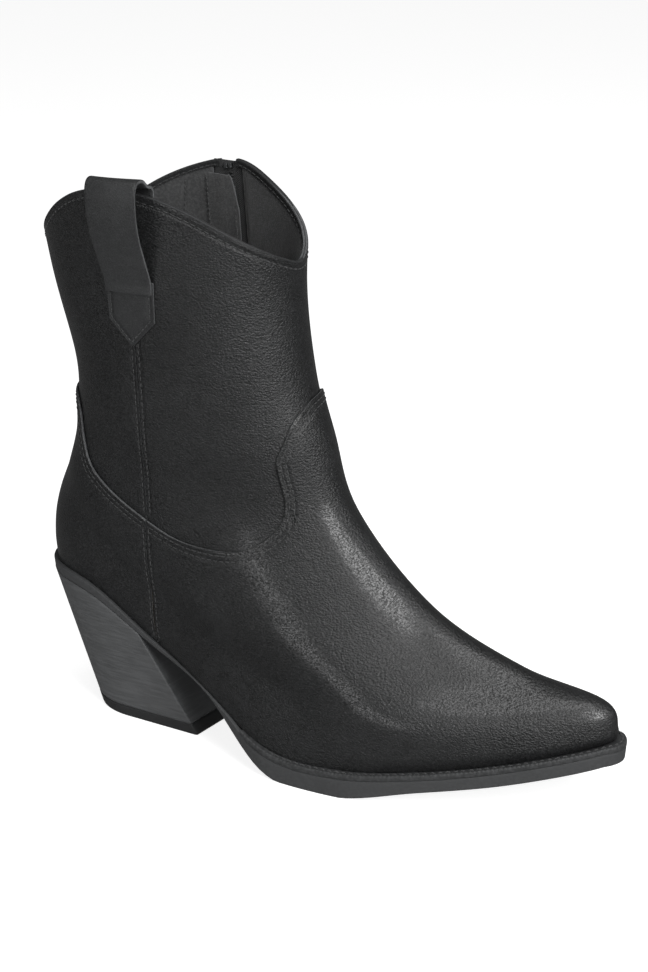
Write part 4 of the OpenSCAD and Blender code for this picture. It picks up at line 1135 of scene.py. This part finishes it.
@dataclass
class Zip:
    """The zip on the inner side: tapes, coils, stops, slider and pull tab."""

    form: FootForm
    upper: Upper
    tape_level: float = -1.8
    coil_from: float = -0.1
    coil_to: float = 2.0
    coil_thick: float = 1.6
    pitch: float = 1.5

    def build(self) -> None:
        """Makes the woven tapes and the turns of the coils, and dresses the metal parts."""
        form, pattern = self.form, self.upper.pattern
        widths = np.array([.08, 1.1, 2.7, 4.1, 5.3, 6.4, 7.5, 8.7])
        rows = mix(pattern.foxing(90.0) - .33, pattern.rim(90.0) - .015, np.linspace(0, 1, 60))
        for side, name in ((1, "front"), (-1, "back")):
            dx, v = np.meshgrid(np.sort(side * widths), rows, indexing="ij")
            phi = form.zip_angle(v, dx)
            along = (form.surface(phi, v) - form.zip_low) @ form.zip_dir
            level = self.tape_level + .25
            straight = (form.zip_low + dx[..., None] * form.zip_side + level * form.zip_out
                        + along[..., None] * form.zip_dir)
            top = np.where((np.abs(dx) > 4.6)[..., None], form.skin(phi, v, level), straight)
            self.upper.panel(f"zip_tape_{name}_cloth", top, [], TAPE, .5, [f"zip_tape_{name}"],
                             "zip_tape", .12)
            self.coil(side, name)
        for node in ("zip_slider", "zip_pull", "zip_top_stops", "zip_bottom_stop"):
            dress(node, ZIP_METAL, edge=.22)

    def coil(self, side: int, name: str) -> None:
        """One row of the coil: a slanted turn of nylon every pitch."""
        form = self.form
        turns = int(form.zip_length / self.pitch) - 1
        parts = []
        angle = np.radians(np.arange(0, 360, 45))
        across_at = np.array([0, .05, .2, .5, .85, 1.0])
        size = np.array([.35, .8, 1, 1, .9, .5])
        for k in range(turns):
            along = (k + (.75 if side > 0 else .25)) * self.pitch + .4
            dx = side * mix(self.coil_from, self.coil_to, across_at)
            centre = along + .25 * (across_at - .5) * self.pitch
            out = np.outer(size, np.cos(angle)) * self.coil_thick / 2 + self.tape_level
            run = centre[:, None] + np.outer(size, np.sin(angle)) * self.pitch * .36
            grid = (form.zip_low + np.broadcast_to(dx[:, None], out.shape)[..., None] * form.zip_side
                    + out[..., None] * form.zip_out + run[..., None] * form.zip_dir)
            faces = []
            for s in range(len(dx) - 1):
                for a in range(8):
                    b = (a + 1) % 8
                    quad = [s * 8 + a, s * 8 + b, s * 8 + 8 + b, s * 8 + 8 + a]
                    faces.append(quad if side < 0 else quad[::-1])
            ends = [list(range(7, -1, -1)), [40 + a for a in range(8)]]
            faces += ends if side < 0 else [e[::-1] for e in ends]
            parts.append((grid.reshape(-1, 3), faces))
        points, faces = joined(parts)
        obj = add_object(f"zip_coil_{name}_turns", form.placed(points), faces, COIL.material())
        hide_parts(f"zip_coil_{name}")


def dress(node: str, finish: Finish, edge: float = 0.0) -> None:
    """Gives a CAD node a finish, and rounds its edges by the given millimetres."""
    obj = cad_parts[node]
    obj.data.materials.clear()
    obj.data.materials.append(finish.material())
    if edge:
        obj.modifiers.new("Weld", "WELD").merge_threshold = .002 * MM
        bevel = obj.modifiers.new("Edges", "BEVEL")
        bevel.width, bevel.segments, bevel.angle_limit = edge * MM, 2, math.radians(40)


@dataclass
class Bottom:
    """Welt, outsole, heel and top lift, and the hidden parts between them and the foot."""

    form: FootForm
    upper: Upper
    welt: float = 2.6
    lift: float = 5.5
    heel_top: float = 124.0
    setback: float = 23.0
    base_length: float = 68.0
    base_width: float = 42.5
    ridge: float = 1.9

    def welt_step(self, phi: Array) -> Array:
        """How far the outsole is let down for the welt."""
        return self.welt * smooth((self.form.depth(phi) - .42) / .05)

    def under(self, p: Array) -> Array:
        """Points of the outsole's underside below plan points."""
        t = np.clip(p[:, 0] / self.form.length, 0, 1)
        deep = curve_through([5, 5, 3.1, 2, 12, 12.2, 9, 9, 9], 8 * t)
        return np.column_stack([p, np.maximum(0, self.form.sole_height(p[:, 0]) - deep)])

    def build(self) -> None:
        """Makes the welt with its stitching, the outsole, the heel and the top lift."""
        self.build_outsole()
        self.build_welt()
        self.build_heel()
        for nodes, finish in ((("toe_puff", "heel_stiffener", "insole_board"), BOARD),
                              (("backing_cloth",), CLOTH),
                              (("shank", "heel_screw", "heel_nails", "lift_pins"), STEEL),
                              (("cork_filler",), CORK)):
            for node in nodes:
                dress(node, finish)

    def build_outsole(self) -> None:
        """The outsole, with rounded edges."""
        form = self.form
        phi = np.arange(0, 360, 1.5)
        out, step = form.sole_out(phi), self.welt_step(phi)
        top = [form.at_sole(form.outer_edge(phi, out - a), -step - b)
               for a, b in ((.6, 0), (.17, .12), (0, .5))]
        low = [self.under(form.outer_edge(phi, out - .4 - a)) + [0, 0, b]
               for a, b in ((0, .9), (.12, .35), (.6, 0))]
        body = [mix(top[-1], low[0], s) for s in (.25, .5, .75)]
        points, faces = lofted(top + body + low, 16)
        obj = add_object("outsole_rubber", form.placed(points), faces, OUTSOLE.material())
        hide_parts("outsole")

    def build_welt(self) -> None:
        """The welt, with its wheeled edge and a row of stitches."""
        form = self.form
        phi = np.linspace(-96, 96, 1100)
        mid = form.edge(phi)
        run = np.concatenate([[0], np.cumsum(np.linalg.norm(np.diff(mid, axis=0), axis=1))])
        wave = np.abs(np.sin(run * np.pi / self.ridge)) ** .7
        out, step = form.sole_out(phi), self.welt_step(phi)
        thin = np.minimum(1, step / self.welt)
        profile = [(-6, -1, 0), (0, -1, 0), (.12, -.85, 0), (.16, -.5, .1), (.1, -.22, .22), (-.25, 0, .3),
                   (-1.0, .02, .12),
                   (-1.7, -.06, 0), (-2.4, .02, 0), (-4.2, .02, 0), (-6, 0, 0)]
        rows = []
        for side, level, cut in profile:
            p = form.outer_edge(phi, out + side - cut * (1 - wave) * .5)
            z = (level * step if level < 0 else level * 1.0) - cut * (1 - wave) * thin
            rows.append(form.at_sole(p, z))
        grid = np.stack(rows, 1)
        faces = grid_faces(len(phi), len(profile))
        lid = len(profile)
        faces += [list(range(lid))[::-1], [(len(phi) - 1) * lid + k for k in range(lid)]]
        last = np.arange(len(phi) - 1) * lid
        faces += np.stack([last + lid - 1, last + lid + lid - 1, last + lid, last], -1).tolist()
        obj = add_object("welt_strip", form.placed(grid.reshape(-1, 3)), faces, WELT.material())
        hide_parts("welt")
        row = phi[(phi > -90) & (phi < 90)]
        line = form.at_sole(form.outer_edge(row, form.sole_out(row) - 1.7), 0 * row)
        stitches = tube_run(line, np.tile([0.0, 0, 1], (len(line), 1)), 3.4, .36, .72)
        add_object("welt_stitching", form.placed(stitches[0]), stitches[1], THREAD.material())

    def heel_ring(self, share: float, grow: float = 0.0, from_floor: float | None = None) -> Array:
        """One level outline of the heel.

        Args:
            share: 0 at the top lift's upper face and 1 at the outsole.
            grow: how far the outline stands out.
            from_floor: height above the floor, in place of share.

        Returns:
            The outline's points in millimetres, from the middle of the front face round the inner side.
        """
        form, k = self.form, np.linspace(0, 1, 113)
        phi = mix(self.heel_top, 360 - self.heel_top, k)
        top = self.under(form.outer_edge(phi, form.sole_out(phi) - .4))
        near = np.minimum(k, 1 - k) * 28
        side = np.where(k < .5, 1, -1)
        rounding = self.base_length * .4
        a = np.radians(mix(90, 180, np.clip((near - 3) / 11, 0, 1)))
        x = np.where(near < 3, mix(self.setback + self.base_length, self.setback + rounding, near / 3),
                     self.setback + rounding + rounding * np.cos(a))
        y = side * self.base_width / 2 * np.where(near < 3, 1, np.sin(a))
        base = np.column_stack([x, y, 0 * x])
        z = mix(self.lift, top[:, 2], share) if from_floor is None else np.full(len(k), from_floor)
        wall = base + (top - base) * (z / top[:, 2])[:, None]
        middle = wall[:, :2].mean(0)
        away = wall[:, :2] - middle
        wall[:, :2] += grow * away / np.linalg.norm(away, axis=1, keepdims=True)
        front = mix(wall[-1], wall[0], np.linspace(0, 1, 24)[:, None])
        ring = np.vstack([front[12:-1], wall, front[1:12]])
        for _ in range(2):
            ring = np.stack([mix(ring, np.roll(ring, -1, 0), .25), mix(ring, np.roll(ring, -1, 0), .75)],
                            1).reshape(-1, 3)
        return ring

    def build_heel(self) -> None:
        """The slanted heel block and the top lift."""
        form = self.form
        rings = [self.heel_ring(s) for s in np.linspace(1, .02, 22)] + [self.heel_ring(0, -.25)]
        points, faces = lofted(rings, 8)
        # The heel block's finish has a painted reflection: its grey is lighter than the heel's own colour.
        obj = add_object("heel_block_stack", form.placed(points), faces, HEEL_WITH_PAINTED_REFLECTION.material())
        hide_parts("heel_block")
        levels = ((-.25, 5.5), (.12, 5.3), (.15, 4.6), (.15, 1.0), (.05, .3), (-.5, 0))
        points, faces = lofted([self.heel_ring(0, g, from_floor=z) for g, z in levels], 8)
        obj = add_object("top_lift_rubber", form.placed(points), faces, LIFT.material())
        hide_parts("top_lift")


@dataclass
class Studio:
    """Floor, soft lights and camera."""

    eye: tuple[float, float, float] = (.5071, -.7835, .4436)
    aim: tuple[float, float, float] = (.00294, .00297, .12889)
    lens: float = 81.46
    floor_half: float = 12.0
    floor_grey: float = .5
    floor_glow: float = .85
    ambient: float = .12
    backdrop: float = .88

    def area(self, name: str, place: Sequence[float], size: Sequence[float], power: float,
             aim: Sequence[float] = (0, 0, .1)) -> None:
        """Adds a soft rectangular light that faces a point."""
        data = bpy.data.lights.new(name, "AREA")
        data.shape, data.size, data.size_y, data.energy = "RECTANGLE", size[0], size[1], power
        light = bpy.data.objects.new(name, data)
        light.location = place
        light.rotation_euler = (Vector(aim) - Vector(place)).to_track_quat("-Z", "Y").to_euler()
        bpy.context.scene.collection.objects.link(light)

    def build(self) -> None:
        """Makes the floor, the lights, the surrounding light and the camera."""
        scene = bpy.context.scene
        mesh = bpy.data.meshes.new("floor")
        s = self.floor_half
        mesh.from_pydata([(-s, -s, 0), (s, -s, 0), (s, s, 0), (-s, s, 0)], [], [(0, 1, 2, 3)])
        floor = bpy.data.objects.new("floor", mesh)
        scene.collection.objects.link(floor)
        material = bpy.data.materials.new("Pale floor")
        material.use_nodes = True
        shader = material.node_tree.nodes["Principled BSDF"]
        shader.inputs["Base Color"].default_value = (self.floor_grey, self.floor_grey, self.floor_grey, 1)
        shader.inputs["Roughness"].default_value = .9
        shader.inputs["Emission Color"].default_value = (1, 1, 1, 1)
        shader.inputs["Emission Strength"].default_value = self.floor_glow
        mesh.materials.append(material)
        floor.visible_glossy = False
        world = bpy.data.worlds.new("Studio")
        world.use_nodes = True
        kit = NodeKit(world.node_tree)
        seen = kit.add("ShaderNodeLightPath").outputs["Is Camera Ray"]
        light = kit.math("ADD", kit.math("MULTIPLY", seen, self.backdrop), self.ambient)
        surround = kit.add("ShaderNodeBackground", {"Color": (1, 1, 1, 1), "Strength": light})
        kit.add("ShaderNodeOutputWorld", {"Surface": surround.outputs[0]})
        scene.world = world
        self.area("Overhead", (.25, -.3, 2.0), (1.2, 1.2), 18)
        self.area("Toe softbox", (1.22, -.62, 1.02), (.75, 1.0), 28)
        self.area("Side softbox", (-.19, -1.58, .34), (.6, .5), 4)
        data = bpy.data.cameras.new("Camera")
        data.lens, data.sensor_width = self.lens, 36.0
        camera = bpy.data.objects.new("Camera", data)
        camera.location = self.eye
        camera.rotation_euler = (Vector(self.aim) - Vector(self.eye)).to_track_quat("-Z", "Y").to_euler()
        scene.collection.objects.link(camera)
        scene.camera = camera
        scene.view_settings.view_transform = "Standard"
        scene.view_settings.look = "None"


def main() -> None:
    logging.basicConfig(level=logging.INFO, format="%(name)s %(message)s")
    form, pattern = FootForm(), Pattern()
    upper = Upper(form, pattern)
    Studio().build()
    upper.build_foxing()
    upper.build_shaft()
    upper.build_rim()
    PullStrap(form, upper).build()
    Linings(form, upper).build()
    Zip(form, upper).build()
    Bottom(form, upper).build()


if __name__ == "__main__":
    main()
